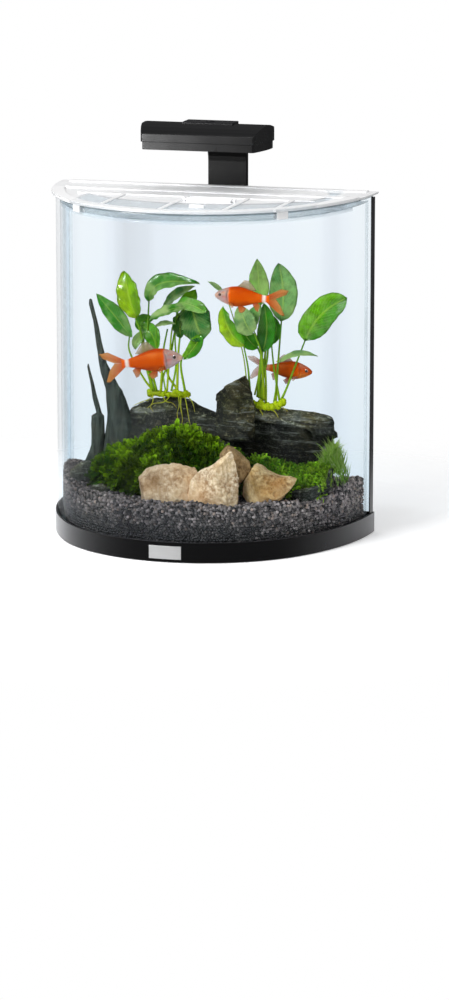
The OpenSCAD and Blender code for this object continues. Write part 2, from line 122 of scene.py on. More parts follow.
class Bag:
    """Collects many small shapes into one mesh."""
    def __init__(self):
        self.V, self.F3, self.F4, self.C, self.U, self.n = [], [], [], [], [], 0

    def add(self, V, F, col=None, uv=None):
        V = np.asarray(V, float)
        F = np.asarray(F, np.int64) + self.n
        (self.F3 if F.shape[1] == 3 else self.F4).append(F)
        self.V.append(V)
        c = np.ones((len(V), 4))
        if col is not None:
            col = np.asarray(col, float)
            if col.ndim == 1:
                c[:, :len(col)] = col
            else:
                c[:, :col.shape[1]] = col
        self.C.append(c)
        self.U.append(np.zeros((len(V), 2)) if uv is None else np.asarray(uv, float))
        self.n += len(V)

    def done(self, name, mat, slot, **kw):
        F = []
        for part in self.F3 + self.F4:
            F += part.tolist()
        return build(name, np.vstack(self.V), F, mat, slot, cols=np.vstack(self.C), uvs=np.vstack(self.U), **kw)


def icosphere(level):
    t = (1 + 5 ** 0.5) / 2
    V = [(-1, t, 0), (1, t, 0), (-1, -t, 0), (1, -t, 0), (0, -1, t), (0, 1, t), (0, -1, -t), (0, 1, -t),
         (t, 0, -1), (t, 0, 1), (-t, 0, -1), (-t, 0, 1)]
    F = [(0, 11, 5), (0, 5, 1), (0, 1, 7), (0, 7, 10), (0, 10, 11), (1, 5, 9), (5, 11, 4), (11, 10, 2), (10, 7, 6), (7, 1, 8),
         (3, 9, 4), (3, 4, 2), (3, 2, 6), (3, 6, 8), (3, 8, 9), (4, 9, 5), (2, 4, 11), (6, 2, 10), (8, 6, 7), (9, 8, 1)]
    V = unit(np.array(V, float))
    F = np.array(F)
    for _ in range(level):
        e = np.vstack([F[:, [0, 1]], F[:, [1, 2]], F[:, [2, 0]]])
        e.sort(axis=1)
        key, inv = np.unique(e[:, 0] * 10 ** 7 + e[:, 1], return_inverse=True)
        mids = unit(V[key // 10 ** 7] + V[key % 10 ** 7])
        n = len(F)
        a, b, c = inv[:n] + len(V), inv[n:2 * n] + len(V), inv[2 * n:] + len(V)
        F = np.vstack([np.stack([F[:, 0], a, c], 1), np.stack([F[:, 1], b, a], 1), np.stack([F[:, 2], c, b], 1),
                       np.stack([a, b, c], 1)])
        V = np.vstack([V, mids])
    return V, F


ICO = {k: icosphere(k) for k in (0, 1, 2, 3, 5)}


# ------------------------------------------------------------------ the plan outline
HW, SIDE_R, FRONT_R, FCY, YR, TURN = 200.0, 288.0, 183.33, 63.33, 120.0, math.radians(32.78)


def outline(o, rear=120.0, n1=26, n2=44):
    """The three-arc half moon, o millimetres inside the base outline, from rear right over the front to rear left."""
    r2, r1 = SIDE_R - o, FRONT_R - o
    t0 = math.asin((YR - rear) / r2)
    a = [(HW - SIDE_R + r2 * math.cos(t), YR - r2 * math.sin(t)) for t in np.linspace(t0, TURN, n1, endpoint=False)]
    b = [(r1 * math.cos(t), FCY - r1 * math.sin(t)) for t in np.linspace(TURN, math.pi / 2, n2)]
    h = a + b
    return np.array(h + [(-x, y) for x, y in h[-2::-1]])


def inside(x, y, o, rear):
    """True where (x, y) is inside the outline."""
    x = np.abs(x)
    ang = np.arctan2(FCY - y, x)
    front = np.hypot(x, y - FCY) < FRONT_R - o
    side = np.hypot(x - (HW - SIDE_R), y - YR) < SIDE_R - o
    return np.where(ang > TURN, front, side) & (y < rear)


def keep_in(V, o=9.0, rear=110.5):
    """Moves points that would pass the glass back to o millimetres inside the outline."""
    V = np.array(V, float)
    x, y = V[:, 0], V[:, 1]
    front = np.arctan2(FCY - y, np.abs(x)) > TURN
    cx = np.where(front, 0.0, np.sign(x) * (HW - SIDE_R))
    cy = np.where(front, FCY, YR)
    r = np.where(front, FRONT_R, SIDE_R) - o
    d = np.hypot(x - cx, y - cy)
    k = np.where(d > r, r / np.maximum(d, 1e-6), 1.0)
    V[:, 0] = cx + (x - cx) * k
    V[:, 1] = np.minimum(cy + (y - cy) * k, rear)
    return V


# ------------------------------------------------------------------ materials
def mat_new(name):
    m = bpy.data.materials.new(name)
    m.use_nodes = True
    m.node_tree.nodes.clear()
    return m, m.node_tree


def N(t, kind, ins=None, **props):
    n = t.nodes.new(kind)
    for k, v in props.items():
        setattr(n, k, v)
    for k, v in (ins or {}).items():
        s = n.inputs[k]
        if isinstance(v, bpy.types.NodeSocket):
            t.links.new(v, s)
        elif s.type == "RGBA" and len(v) == 3:
            s.default_value = (*v, 1)
        else:
            s.default_value = v
    return n


def out(t, shader):
    N(t, "ShaderNodeOutputMaterial", {"Surface": shader})


def math_(t, op, a, b=0.0, c=0.0, clamp=False):
    n = N(t, "ShaderNodeMath", {0: a, 1: b, 2: c}, operation=op)
    n.use_clamp = clamp
    return n.outputs[0]


def ramp(t, fac, stops, interp="LINEAR"):
    n = N(t, "ShaderNodeValToRGB", {"Fac": fac})
    r = n.color_ramp
    r.interpolation = interp
    while len(r.elements) > 1:
        r.elements.remove(r.elements[-1])
    for i, (p, c) in enumerate(stops):
        e = r.elements[0] if i == 0 else r.elements.new(p)
        e.position = p
        e.color = (*c, 1) if not isinstance(c, float) else (c, c, c, 1)
    return n.outputs["Color"]


def mixc(t, fac, a, b, blend="MIX"):
    n = N(t, "ShaderNodeMix", data_type="RGBA", blend_type=blend)
    n.inputs[0].default_value = fac if not isinstance(fac, bpy.types.NodeSocket) else 0.5
    if isinstance(fac, bpy.types.NodeSocket):
        t.links.new(fac, n.inputs[0])
    for k, v in ((6, a), (7, b)):
        if isinstance(v, bpy.types.NodeSocket):
            t.links.new(v, n.inputs[k])
        else:
            n.inputs[k].default_value = (*v, 1)
    return n.outputs[2]


def noise(t, scale, detail=3.0, rough=0.55, vec=None, dist=0.0):
    if vec is None:
        vec = N(t, "ShaderNodeTexCoord").outputs["Object"]
    n = N(t, "ShaderNodeTexNoise", {"Vector": vec, "Scale": scale, "Detail": detail, "Roughness": rough, "Distortion": dist})
    return n.outputs["Fac"]


def scaled(t, v, vec=None):
    if vec is None:
        vec = N(t, "ShaderNodeTexCoord").outputs["Object"]
    return N(t, "ShaderNodeMapping", {"Vector": vec, "Scale": v}).outputs[0]


def bump(t, height, strength=0.3, distance=0.001, normal=None):
    ins = {"Height": height, "Strength": strength, "Distance": distance}
    if normal is not None:
        ins["Normal"] = normal
    return N(t, "ShaderNodeBump", ins).outputs[0]


def principled(t, **k):
    names = {"color": "Base Color", "rough": "Roughness", "metal": "Metallic", "ior": "IOR", "normal": "Normal", "spec": "Specular IOR Level",
             "coat": "Coat Weight", "coat_rough": "Coat Roughness", "spec_tint": "Specular Tint", "coat_tint": "Coat Tint", "sheen": "Sheen Weight", "alpha": "Alpha", "sss": "Subsurface Weight",
             "sss_r": "Subsurface Radius", "sss_s": "Subsurface Scale", "emit": "Emission Strength", "emit_c": "Emission Color"}
    return N(t, "ShaderNodeBsdfPrincipled", {names[a]: b for a, b in k.items()}).outputs[0]


def attr(t, name="tone"):
    return N(t, "ShaderNodeVertexColor", layer_name=name)


def mix_shader(t, fac, a, b):
    return N(t, "ShaderNodeMixShader", {0: fac, 1: a, 2: b}).outputs[0]


def srgb(h):
    c = [int(h[i:i + 2], 16) / 255 for i in (0, 2, 4)]
    return tuple(x / 12.92 if x <= 0.04045 else ((x + 0.055) / 1.055) ** 2.4 for x in c)


def sepxyz(t, vec):
    return N(t, "ShaderNodeSeparateXYZ", {0: vec}).outputs


def glass_material(name, with_painted_reflections):
    m, t = mat_new(name)
    pos = sepxyz(t, N(t, "ShaderNodeTexCoord").outputs["Object"])
    nrm = sepxyz(t, N(t, "ShaderNodeNewGeometry").outputs["Normal"])
    z = N(t, "ShaderNodeMapRange", {"Value": pos[2], "From Min": 0.06, "From Max": 0.40}).outputs[0]
    tint = ramp(t, z, [(0.0, (0.918, 0.955, 0.977)), (0.55, (0.948, 0.972, 0.988)), (1.0, (0.962, 0.980, 0.992))])
    if with_painted_reflections:
        # painted reflection: soft upright darker bands multiplied into the tint round the bend, standing in for
        # reflected streaks
        ang = math_(t, "ARCTAN2", pos[0], math_(t, "SUBTRACT", FCY / 1000 - 0.005, pos[1]))
        deg = N(t, "ShaderNodeMapRange", {"Value": ang, "From Min": -math.pi / 2, "From Max": math.pi / 2}).outputs[0]
        band = ramp(t, deg, PAINTED_REFLECTION_BANDS, "EASE")
        tint = mixc(t, 1.0, tint, band, "MULTIPLY")
    # the polished rims show the body colour of the glass; above z 419 mm the lip is painted dark teal, partly the
    # edge's body colour and partly painted shade for the gap under the cover
    rim = math_(t, "GREATER_THAN", math_(t, "ABSOLUTE", nrm[2]), 0.7)
    tint = mixc(t, rim, tint, (0.62, 0.78, 0.80))
    lip = math_(t, "GREATER_THAN", pos[2], 0.4190)
    facing = N(t, "ShaderNodeLayerWeight", {"Blend": 0.5}).outputs["Facing"]
    tint = mixc(t, math_(t, "MULTIPLY", math_(t, "POWER", facing, 2.0), 0.9, clamp=True), tint, (0.986, 0.993, 0.998))
    f = math_(t, "POWER", facing, 6.0)
    f = math_(t, "MULTIPLY_ADD", f, 0.20, 0.003, clamp=True)
    clear = N(t, "ShaderNodeBsdfTransparent", {"Color": tint}).outputs[0]
    wave = noise(t, 9.0, 1.0)
    gloss = N(t, "ShaderNodeBsdfGlossy", {"Color": (0.95, 0.98, 1.0), "Roughness": 0.04, "Normal": bump(t, wave, 0.04, 0.002)}).outputs[0]
    edge = principled(t, color=(0.20, 0.26, 0.28), rough=0.2)
    out(t, mix_shader(t, math_(t, "MULTIPLY", lip, 0.62), mix_shader(t, f, clear, gloss), edge))
    return m


def arc_normal(t, fallback):
    """Exact outward direction on the three-arc wall, so that its flat facets shade as one bend."""
    pos = sepxyz(t, N(t, "ShaderNodeTexCoord").outputs["Object"])
    nrm = N(t, "ShaderNodeNewGeometry").outputs["Normal"]
    x, y = pos[0], math_(t, "ADD", pos[1], 0.005)
    ang = math_(t, "ARCTAN2", math_(t, "SUBTRACT", FCY / 1000, y), math_(t, "ABSOLUTE", x))
    front = math_(t, "GREATER_THAN", ang, TURN)
    cx = math_(t, "MULTIPLY", math_(t, "MULTIPLY", math_(t, "SIGN", x), (HW - SIDE_R) / 1000), math_(t, "SUBTRACT", 1.0, front))
    cy = math_(t, "MULTIPLY_ADD", front, (FCY - YR) / 1000, YR / 1000)
    v = N(t, "ShaderNodeCombineXYZ", {0: math_(t, "SUBTRACT", x, cx), 1: math_(t, "SUBTRACT", y, cy), 2: 0.0}).outputs[0]
    v = N(t, "ShaderNodeVectorMath", {0: v}, operation="NORMALIZE").outputs[0]
    ok = math_(t, "GREATER_THAN", N(t, "ShaderNodeVectorMath", {0: v, 1: nrm}, operation="DOT_PRODUCT").outputs["Value"], 0.985)
    m = N(t, "ShaderNodeMix", {0: ok}, data_type="VECTOR")
    t.links.new(fallback, m.inputs[4])
    t.links.new(v, m.inputs[5])
    return m.outputs[1]


def band(*levels):
    return [(p, (k, k, min(1.0, k * 1.012))) for p, k in levels]


# painted reflection: levels of the darker upright bands on the bent pane
PAINTED_REFLECTION_BANDS = band((0.0, 1.0), (0.10, 1.0), (0.159, 0.985), (0.199, 0.945), (0.222, 0.948), (0.27, 1.0), (0.34, 0.998), (0.37, 0.975), (0.392, 0.925), (0.408, 0.90), (0.425, 0.91),
               (0.45, 0.925), (0.49, 0.97), (0.578, 0.995), (0.76, 0.995), (0.82, 1.0), (0.86, 0.995), (0.89, 0.96), (0.914, 0.942), (0.95, 0.975), (1.0, 1.0))


def plastic(name, color, rough, spec=0.5, grain=900.0, bump_s=0.05, bevel=0.0006, vary=0.25, coat=0.0, sheen=None):
    m, t = mat_new(name)
    n1 = noise(t, 28.0, 4.0)
    n2 = noise(t, grain, 2.0)
    r = math_(t, "MULTIPLY_ADD", n1, rough * 0.5, rough * 0.75)
    c = mixc(t, math_(t, "MULTIPLY", n1, vary), color, tuple(min(1, v * 1.7 + 0.0008) for v in color))
    nor = N(t, "ShaderNodeBevel", {"Radius": bevel}, samples=4).outputs[0] if bevel else None
    if sheen:
        nor = arc_normal(t, nor)
    nb = bump(t, n2, bump_s, 0.0002, nor)
    body = principled(t, color=c, rough=r, spec=spec, normal=nb, coat=coat, coat_rough=0.08)
    if sheen:
        # polished skin: the gloss rises quickly towards grazing angles
        facing = N(t, "ShaderNodeLayerWeight", {"Blend": 0.5, "Normal": nor}).outputs["Facing"]
        gl = N(t, "ShaderNodeBsdfGlossy", {"Color": (0.92, 0.92, 0.94), "Roughness": r, "Normal": nb}).outputs[0]
        body = mix_shader(t, math_(t, "MULTIPLY", math_(t, "POWER", facing, sheen[0]), sheen[1], clamp=True), body, gl)
    out(t, body)
    return m


M_GLASS = glass_material("glass_bent", True)
M_GLASS2 = glass_material("glass_flat", False)
M_TRAY = plastic("tray_black", (0.0016, 0.0016, 0.0018), 0.30, spec=0.05, grain=1500.0, bump_s=0.02, bevel=0.0009, sheen=(3.0, 0.55))
M_TRIM = plastic("trim_black", (0.012, 0.012, 0.013), 0.35, spec=0.35)
M_LAMP = plastic("lamp_satin", (0.0042, 0.0042, 0.0045), 0.29, spec=0.15, grain=2200.0, bump_s=0.10, bevel=0.0010, vary=0.35)
M_ARM = plastic("arm_satin", (0.0010, 0.0010, 0.0011), 0.36, spec=0.05, grain=2200.0, bump_s=0.10, bevel=0.0010, vary=0.35)
M_LAMP_GLOSS = plastic("lamp_gloss_black", (0.004, 0.004, 0.005), 0.25, spec=0.2, bevel=0.0006)
M_RUBBER = plastic("rubber_pad", (0.02, 0.02, 0.02), 0.8, spec=0.25, grain=1200.0, bump_s=0.4)
M_WHITE = plastic("clip_white", (0.86, 0.86, 0.86), 0.3, spec=0.5, bevel=0.0005, vary=0.03)
M_BOARD = plastic("board_white", (0.75, 0.78, 0.75), 0.5, bevel=0.0)
M_LED = plastic("led_phosphor", (0.85, 0.62, 0.12), 0.3, bevel=0.0)


def metal(name, color, rough, stretch=(1, 1, 1), bevel=0.0004):
    m, t = mat_new(name)
    v = scaled(t, stretch)
    n = noise(t, 700.0, 3.0, vec=v)
    nor = N(t, "ShaderNodeBevel", {"Radius": bevel}, samples=4).outputs[0]
    out(t, principled(t, color=mixc(t, n, tuple(c * 0.85 for c in color), color), metal=1.0,
                      rough=math_(t, "MULTIPLY_ADD", n, 0.2, rough), normal=bump(t, n, 0.12, 0.0001, nor)))
    return m


M_STEEL = metal("steel_turned", (0.6, 0.6, 0.62), 0.22)
M_BADGE = metal("badge_brushed", (0.42, 0.42, 0.42), 0.30, (0.06, 1, 1), 0.0005)


def silicone_material():
    m, t = mat_new("silicone_clear")
    n = noise(t, 120.0, 3.0)
    clear = N(t, "ShaderNodeBsdfTransparent", {"Color": (0.965, 0.98, 0.985)}).outputs[0]
    body = principled(t, color=(0.86, 0.90, 0.92), rough=0.35, spec=0.3, normal=bump(t, n, 0.2, 0.0004))
    out(t, mix_shader(t, math_(t, "MULTIPLY_ADD", n, 0.16, 0.08), clear, body))
    return m


def cover_material(name="cover_clear", raise_by=0.50):
    """Clear moulded cover: thin fields are nearly clear, ribs and rims gather light and look white."""
    m, t = mat_new(name)
    co = N(t, "ShaderNodeTexCoord").outputs["Object"]
    pos = sepxyz(t, co)
    geo = N(t, "ShaderNodeNewGeometry").outputs["Normal"]
    nrm = sepxyz(t, geo)
    n1 = noise(t, 14.0, 3.0)
    n2 = noise(t, 60.0, 2.0, vec=scaled(t, (0.35, 1.6, 1)))
    raised = N(t, "ShaderNodeMapRange", {"Value": pos[2], "From Min": 0.4242, "From Max": 0.4250}, clamp=True).outputs[0]
    side = math_(t, "LESS_THAN", math_(t, "ABSOLUTE", nrm[2]), 0.5)
    low = math_(t, "LESS_THAN", pos[2], 0.4219)
    # the middle of the cover is frosted, only the fields along the bent rim are clear
    dx, dy = pos[0], math_(t, "SUBTRACT", pos[1], FCY / 1000 - 0.005)
    dx, dy = math_(t, "DIVIDE", dx, 0.152), math_(t, "DIVIDE", dy, 0.106)
    rad = math_(t, "ADD", math_(t, "MULTIPLY", dx, dx), math_(t, "MULTIPLY", dy, dy))
    rad = math_(t, "MULTIPLY_ADD", n1, 0.06, rad)
    back = N(t, "ShaderNodeMapRange", {"Value": rad, "From Min": 1.06, "From Max": 1.00}, clamp=True).outputs[0]
    ends = N(t, "ShaderNodeMapRange", {"Value": math_(t, "ABSOLUTE", math_(t, "ADD", pos[0], -0.014)), "From Min": 0.146, "From Max": 0.152}, clamp=True).outputs[0]
    back = math_(t, "MAXIMUM", back, ends)
    fac = math_(t, "MULTIPLY_ADD", n2, 0.18, 0.20)
    fac = math_(t, "MULTIPLY_ADD", back, 0.56, fac)
    fac = math_(t, "MULTIPLY_ADD", raised, raise_by, fac)
    fac = math_(t, "MULTIPLY_ADD", side, 0.30, fac)
    fac = math_(t, "MULTIPLY_ADD", low, -0.60, fac)
    fac = math_(t, "MINIMUM", math_(t, "MAXIMUM", fac, 0.03), 0.94)
    tint = mixc(t, raised, (0.95, 0.972, 0.99), (0.97, 0.975, 0.98))
    clear = N(t, "ShaderNodeBsdfTransparent", {"Color": tint}).outputs[0]
    nor = bump(t, n2, 0.25, 0.0008, N(t, "ShaderNodeBevel", {"Radius": 0.0006}, samples=4).outputs[0])
    # painted shade: upright faces take a greyer body colour (0.80 against 0.95) and are 0.30 more opaque, standing in
    # for the shadow line under the cover's plate
    body = principled(t, color=mixc(t, side, (0.95, 0.945, 0.945), (0.80, 0.81, 0.82)), rough=0.30, spec=0.16, normal=nor)
    out(t, mix_shader(t, fac, clear, body))
    return m


def diffuser_material():
    m, t = mat_new("diffuser_frosted")
    n = noise(t, 1500.0, 2.0)
    body = principled(t, color=(0.70, 0.72, 0.74), rough=0.45, normal=bump(t, n, 0.3, 0.0002), emit=0.12, emit_c=(0.9, 0.96, 1.0))
    clear = N(t, "ShaderNodeBsdfTransparent", {"Color": (0.95, 0.97, 1.0)}).outputs[0]
    out(t, mix_shader(t, 0.75, clear, body))
    return m


def water_material():
    m, t = mat_new("water_surface")
    co = N(t, "ShaderNodeTexCoord").outputs["Object"]
    n = noise(t, 22.0, 3.0, vec=scaled(t, (1.0, 2.2, 1.0)))
    n3 = noise(t, 9.0, 2.0)
    tint = mixc(t, n3, (0.88, 0.930, 0.950), (0.94, 0.965, 0.978))
    clear = N(t, "ShaderNodeBsdfTransparent", {"Color": tint}).outputs[0]
    nor = bump(t, n, 0.35, 0.004)
    gloss = N(t, "ShaderNodeBsdfGlossy", {"Color": (0.9, 0.96, 0.98), "Roughness": 0.05, "Normal": nor}).outputs[0]
    body = principled(t, color=(0.62, 0.71, 0.75), rough=0.15, normal=nor)
    f = N(t, "ShaderNodeFresnel", {"IOR": 1.33}).outputs[0]
    patchy = N(t, "ShaderNodeMapRange", {"Value": noise(t, 26.0, 2.0, vec=scaled(t, (1.0, 0.5, 1.0))), "From Min": 0.35, "From Max": 0.65, "To Min": 0.12, "To Max": 0.45}, clamp=True).outputs[0]
    out(t, mix_shader(t, math_(t, "MULTIPLY", f, 0.5), mix_shader(t, patchy, clear, body), gloss))
    return m


def meniscus_material():
    m, t = mat_new("water_edge")
    pos = sepxyz(t, N(t, "ShaderNodeTexCoord").outputs["Object"])
    n = noise(t, 16.0, 2.0, vec=scaled(t, (1.0, 1.0, 3.0)))
    z = N(t, "ShaderNodeMapRange", {"Value": pos[2], "From Min": 0.4075, "From Max": 0.4125}, clamp=True).outputs[0]
    a = math_(t, "MULTIPLY", math_(t, "POWER", z, 0.7), N(t, "ShaderNodeMapRange", {"Value": n, "From Min": 0.3, "From Max": 0.7, "To Min": 0.25, "To Max": 0.8}, clamp=True).outputs[0])
    clear = N(t, "ShaderNodeBsdfTransparent", {"Color": (0.97, 0.985, 0.99)}).outputs[0]
    body = principled(t, color=(0.58, 0.67, 0.71), rough=0.12)
    out(t, mix_shader(t, a, clear, body))
    return m


def gravel_material():
    m, t = mat_new("gravel_grains")
    a = attr(t).outputs["Color"]
    n = noise(t, 900.0, 3.0)
    n2 = noise(t, 260.0, 2.0)
    c = mixc(t, math_(t, "MULTIPLY", n, 0.55), a, (0.035, 0.031, 0.030), "MIX")
    c = mixc(t, math_(t, "MULTIPLY", n2, 0.12), c, (0.33, 0.30, 0.28))
    out(t, principled(t, color=c, rough=math_(t, "MULTIPLY_ADD", n, 0.3, 0.42), spec=0.12, normal=bump(t, n, 0.5, 0.0006)))
    return m


def rock_material(name, base, dark, light, speck, scale=1.0, rough=0.75, veins=False, bump_s=0.7):
    m, t = mat_new(name)
    a = attr(t).outputs["Color"]
    n1 = noise(t, 38.0 * scale, 5.0, 0.65)
    n2 = noise(t, 210.0 * scale, 5.0, 0.7)
    n3 = noise(t, 14.0 * scale, 3.0)
    vor = N(t, "ShaderNodeTexVoronoi", {"Scale": 240.0 * scale, "Vector": N(t, "ShaderNodeTexCoord").outputs["Object"]}, feature="F1").outputs["Distance"]
    c = mixc(t, ramp(t, n1, [(0.30, 0.0), (0.66, 1.0)]), dark, base)
    c = mixc(t, ramp(t, n2, [(0.52, 0.0), (0.80, 0.8)] if veins else [(0.42, 0.0), (0.72, 1.0)]), c, light)
    c = mixc(t, ramp(t, n3, [(0.52, 0.0), (0.66, 0.55)]), c, speck)
    pits = ramp(t, vor, [(0.0, 0.8), (0.14, 0.0)])
    c = mixc(t, math_(t, "MULTIPLY", pits, ramp(t, n3, [(0.48, 0.0), (0.6, 1.0)])), c, dark)
    c = mixc(t, 1.0, c, a, "MULTIPLY")
    h = math_(t, "MULTIPLY_ADD", n2, 0.7, math_(t, "MULTIPLY", pits, -0.6))
    if veins:
        # bedding: thin layers that wander along the rock
        warp = N(t, "ShaderNodeMapping", {"Vector": N(t, "ShaderNodeTexCoord").outputs["Object"], "Rotation": (0.15, -0.22, 0.0), "Scale": (0.30, 0.45, 2.4)}).outputs[0]
        lay = noise(t, 75.0, 6.0, 0.68, vec=warp, dist=0.35)
        c = mixc(t, ramp(t, lay, [(0.32, 0.85), (0.47, 0.0)]), c, dark)
        c = mixc(t, math_(t, "MULTIPLY", ramp(t, lay, [(0.545, 0.0), (0.68, 0.75)]), ramp(t, n1, [(0.40, 0.15), (0.60, 1.0)])), c, light)
        h = math_(t, "MULTIPLY_ADD", lay, 1.6, h)
    out(t, principled(t, color=c, rough=math_(t, "MULTIPLY_ADD", n2, 0.25, rough - 0.12), spec=0.14, normal=bump(t, h, bump_s, 0.0014)))
    return m


def wood_material():
    m, t = mat_new("driftwood_bark")
    v = scaled(t, (1.0, 1.0, 0.13))
    n1 = noise(t, 260.0, 5.0, 0.65, vec=v)
    n2 = noise(t, 40.0, 4.0)
    c = mixc(t, ramp(t, n1, [(0.34, 0.0), (0.68, 1.0)]), srgb("161b16"), srgb("474f44"))
    c = mixc(t, ramp(t, n2, [(0.45, 0.0), (0.75, 0.8)]), c, srgb("3f3d2e"))
    c = mixc(t, 1.0, c, attr(t).outputs["Color"], "MULTIPLY")
    out(t, principled(t, color=c, rough=0.72, spec=0.12, normal=bump(t, n1, 1.0, 0.0016)))
    return m


def blade_material(name, trans=0.35, rough=0.5):
    """Thin leaves of moss and grass: colour from the tone attribute, some light passes through."""
    m, t = mat_new(name)
    a = attr(t).outputs["Color"]
    n = noise(t, 70.0, 3.0)
    c = mixc(t, math_(t, "MULTIPLY", n, 0.35), a, (0.02, 0.05, 0.005))
    c = mixc(t, 1.0, c, (0.75, 0.80, 0.72), "MULTIPLY")
    body = principled(t, color=c, rough=rough, spec=0.1)
    tr = N(t, "ShaderNodeBsdfTranslucent", {"Color": mixc(t, 0.35, c, (0.30, 0.55, 0.04))}).outputs[0]
    out(t, mix_shader(t, trans, body, tr))
    return m


def leaf_material():
    m, t = mat_new("anubias_leaf")
    vc = attr(t)
    uv = sepxyz(t, N(t, "ShaderNodeUVMap", uv_map="UVMap").outputs[0])
    u, v = uv[0], uv[1]
    av = math_(t, "ABSOLUTE", v)
    mott = noise(t, 95.0, 4.0, 0.6)
    fine = noise(t, 420.0, 3.0)
    # side veins sweep forward from the midrib to the edge
    q = math_(t, "MULTIPLY_ADD", av, -0.42, u)
    q = math_(t, "MULTIPLY_ADD", mott, 0.03, q)
    wave = math_(t, "SINE", math_(t, "MULTIPLY", q, 74.0))
    vein = ramp(t, math_(t, "MULTIPLY_ADD", wave, 0.5, 0.5), [(0.78, 0.0), (1.0, 1.0)])
    mid = ramp(t, av, [(0.0, 1.0), (0.055, 0.75), (0.10, 0.0)])
    edge = ramp(t, av, [(0.80, 0.0), (1.0, 1.0)])
    a = vc.outputs["Color"]
    c = mixc(t, ramp(t, mott, [(0.38, 0.0), (0.66, 1.0)]), a, mixc(t, 0.62, a, (0.012, 0.075, 0.006)))
    c = mixc(t, math_(t, "MULTIPLY", edge, 0.35), c, mixc(t, 0.5, a, (0.20, 0.42, 0.03)))
    c = mixc(t, math_(t, "MULTIPLY", vein, 0.42), c, mixc(t, 0.45, a, (0.42, 0.60, 0.12)))
    c = mixc(t, math_(t, "MULTIPLY", mid, 0.75), c, mixc(t, 0.5, a, (0.55, 0.72, 0.14)))
    # painted sheen: pale patches mixed into the colour, more where alpha of the tone is high
    painted_sheen = math_(t, "MULTIPLY", ramp(t, noise(t, 60.0, 2.0, vec=scaled(t, (1, 1, 1))), [(0.42, 0.0), (0.62, 1.0)]), vc.outputs["Alpha"])
    c = mixc(t, painted_sheen, c, (0.44, 0.62, 0.34))
    c = mixc(t, 1.0, c, (1.32, 1.24, 0.76), "MULTIPLY")
    h = math_(t, "MULTIPLY_ADD", vein, -0.5, math_(t, "MULTIPLY", mid, -1.0))
    h = math_(t, "MULTIPLY_ADD", fine, 0.25, h)
    nor = bump(t, h, 0.85, 0.0009)
    body = principled(t, color=c, rough=math_(t, "MULTIPLY_ADD", fine, 0.2, 0.22), spec=0.14, spec_tint=(0.75, 1.0, 0.35, 1.0), normal=nor, coat=0.26, coat_rough=0.09)
    tr = N(t, "ShaderNodeBsdfTranslucent", {"Color": mixc(t, 0.35, c, (0.35, 0.62, 0.05)), "Normal": nor}).outputs[0]
    out(t, mix_shader(t, 0.36, body, tr))
    return m


def stem_material():
    m, t = mat_new("plant_stem")
    a = attr(t).outputs["Color"]
    n = noise(t, 300.0, 3.0, vec=scaled(t, (1, 1, 0.2)))
    c = mixc(t, math_(t, "MULTIPLY", n, 0.45), a, (0.16, 0.26, 0.02))
    c = mixc(t, 1.0, c, (1.12, 1.10, 0.55), "MULTIPLY")
    body = principled(t, color=c, rough=0.40, spec=0.12, spec_tint=(0.9, 1.0, 0.3, 1.0), normal=bump(t, n, 0.3, 0.0004))
    tr = N(t, "ShaderNodeBsdfTranslucent", {"Color": c}).outputs[0]
    out(t, mix_shader(t, 0.25, body, tr))
    return m


def fish_material():
    m, t = mat_new("fish_skin")
    vc = attr(t)
    uv = N(t, "ShaderNodeUVMap", uv_map="UVMap").outputs[0]
    s = sepxyz(t, uv)
    # rows of overlapping scales: offset rounded cells in body coordinates
    rows = math_(t, "MULTIPLY", s[0], 30.0)
    odd = math_(t, "MULTIPLY", math_(t, "MODULO", math_(t, "FLOOR", rows), 2.0), 0.5)
    cols = math_(t, "ADD", math_(t, "MULTIPLY", s[1], 26.0), odd)
    fx = math_(t, "FRACT", rows)
    fy = math_(t, "SUBTRACT", math_(t, "FRACT", cols), 0.5)
    d = math_(t, "SQRT", math_(t, "ADD", math_(t, "POWER", fx, 2.0), math_(t, "MULTIPLY", math_(t, "POWER", fy, 2.0), 2.6)))
    cell = ramp(t, d, [(0.55, 1.0), (0.92, 0.0)])
    n = noise(t, 160.0, 4.0)
    n2 = noise(t, 60.0, 2.0)
    scale_zone = vc.outputs["Alpha"]
    edge = math_(t, "MULTIPLY", math_(t, "SUBTRACT", 1.0, cell), scale_zone)
    c = mixc(t, math_(t, "MULTIPLY", edge, 0.62), vc.outputs["Color"], (0.26, 0.022, 0.001))
    c = mixc(t, math_(t, "MULTIPLY", ramp(t, n2, [(0.45, 0.0), (0.7, 1.0)]), 0.26), c, (0.95, 0.24, 0.01))
    c = mixc(t, math_(t, "MULTIPLY", n, 0.02), c, (0.7, 0.25, 0.05))
    nor = bump(t, math_(t, "MULTIPLY_ADD", math_(t, "MULTIPLY", cell, scale_zone), 0.9, math_(t, "MULTIPLY", n, 0.2)), 0.35, 0.0004)
    out(t, principled(t, color=c, rough=0.34, spec=0.09, spec_tint=(1.0, 0.45, 0.08, 1.0), normal=nor))
    return m


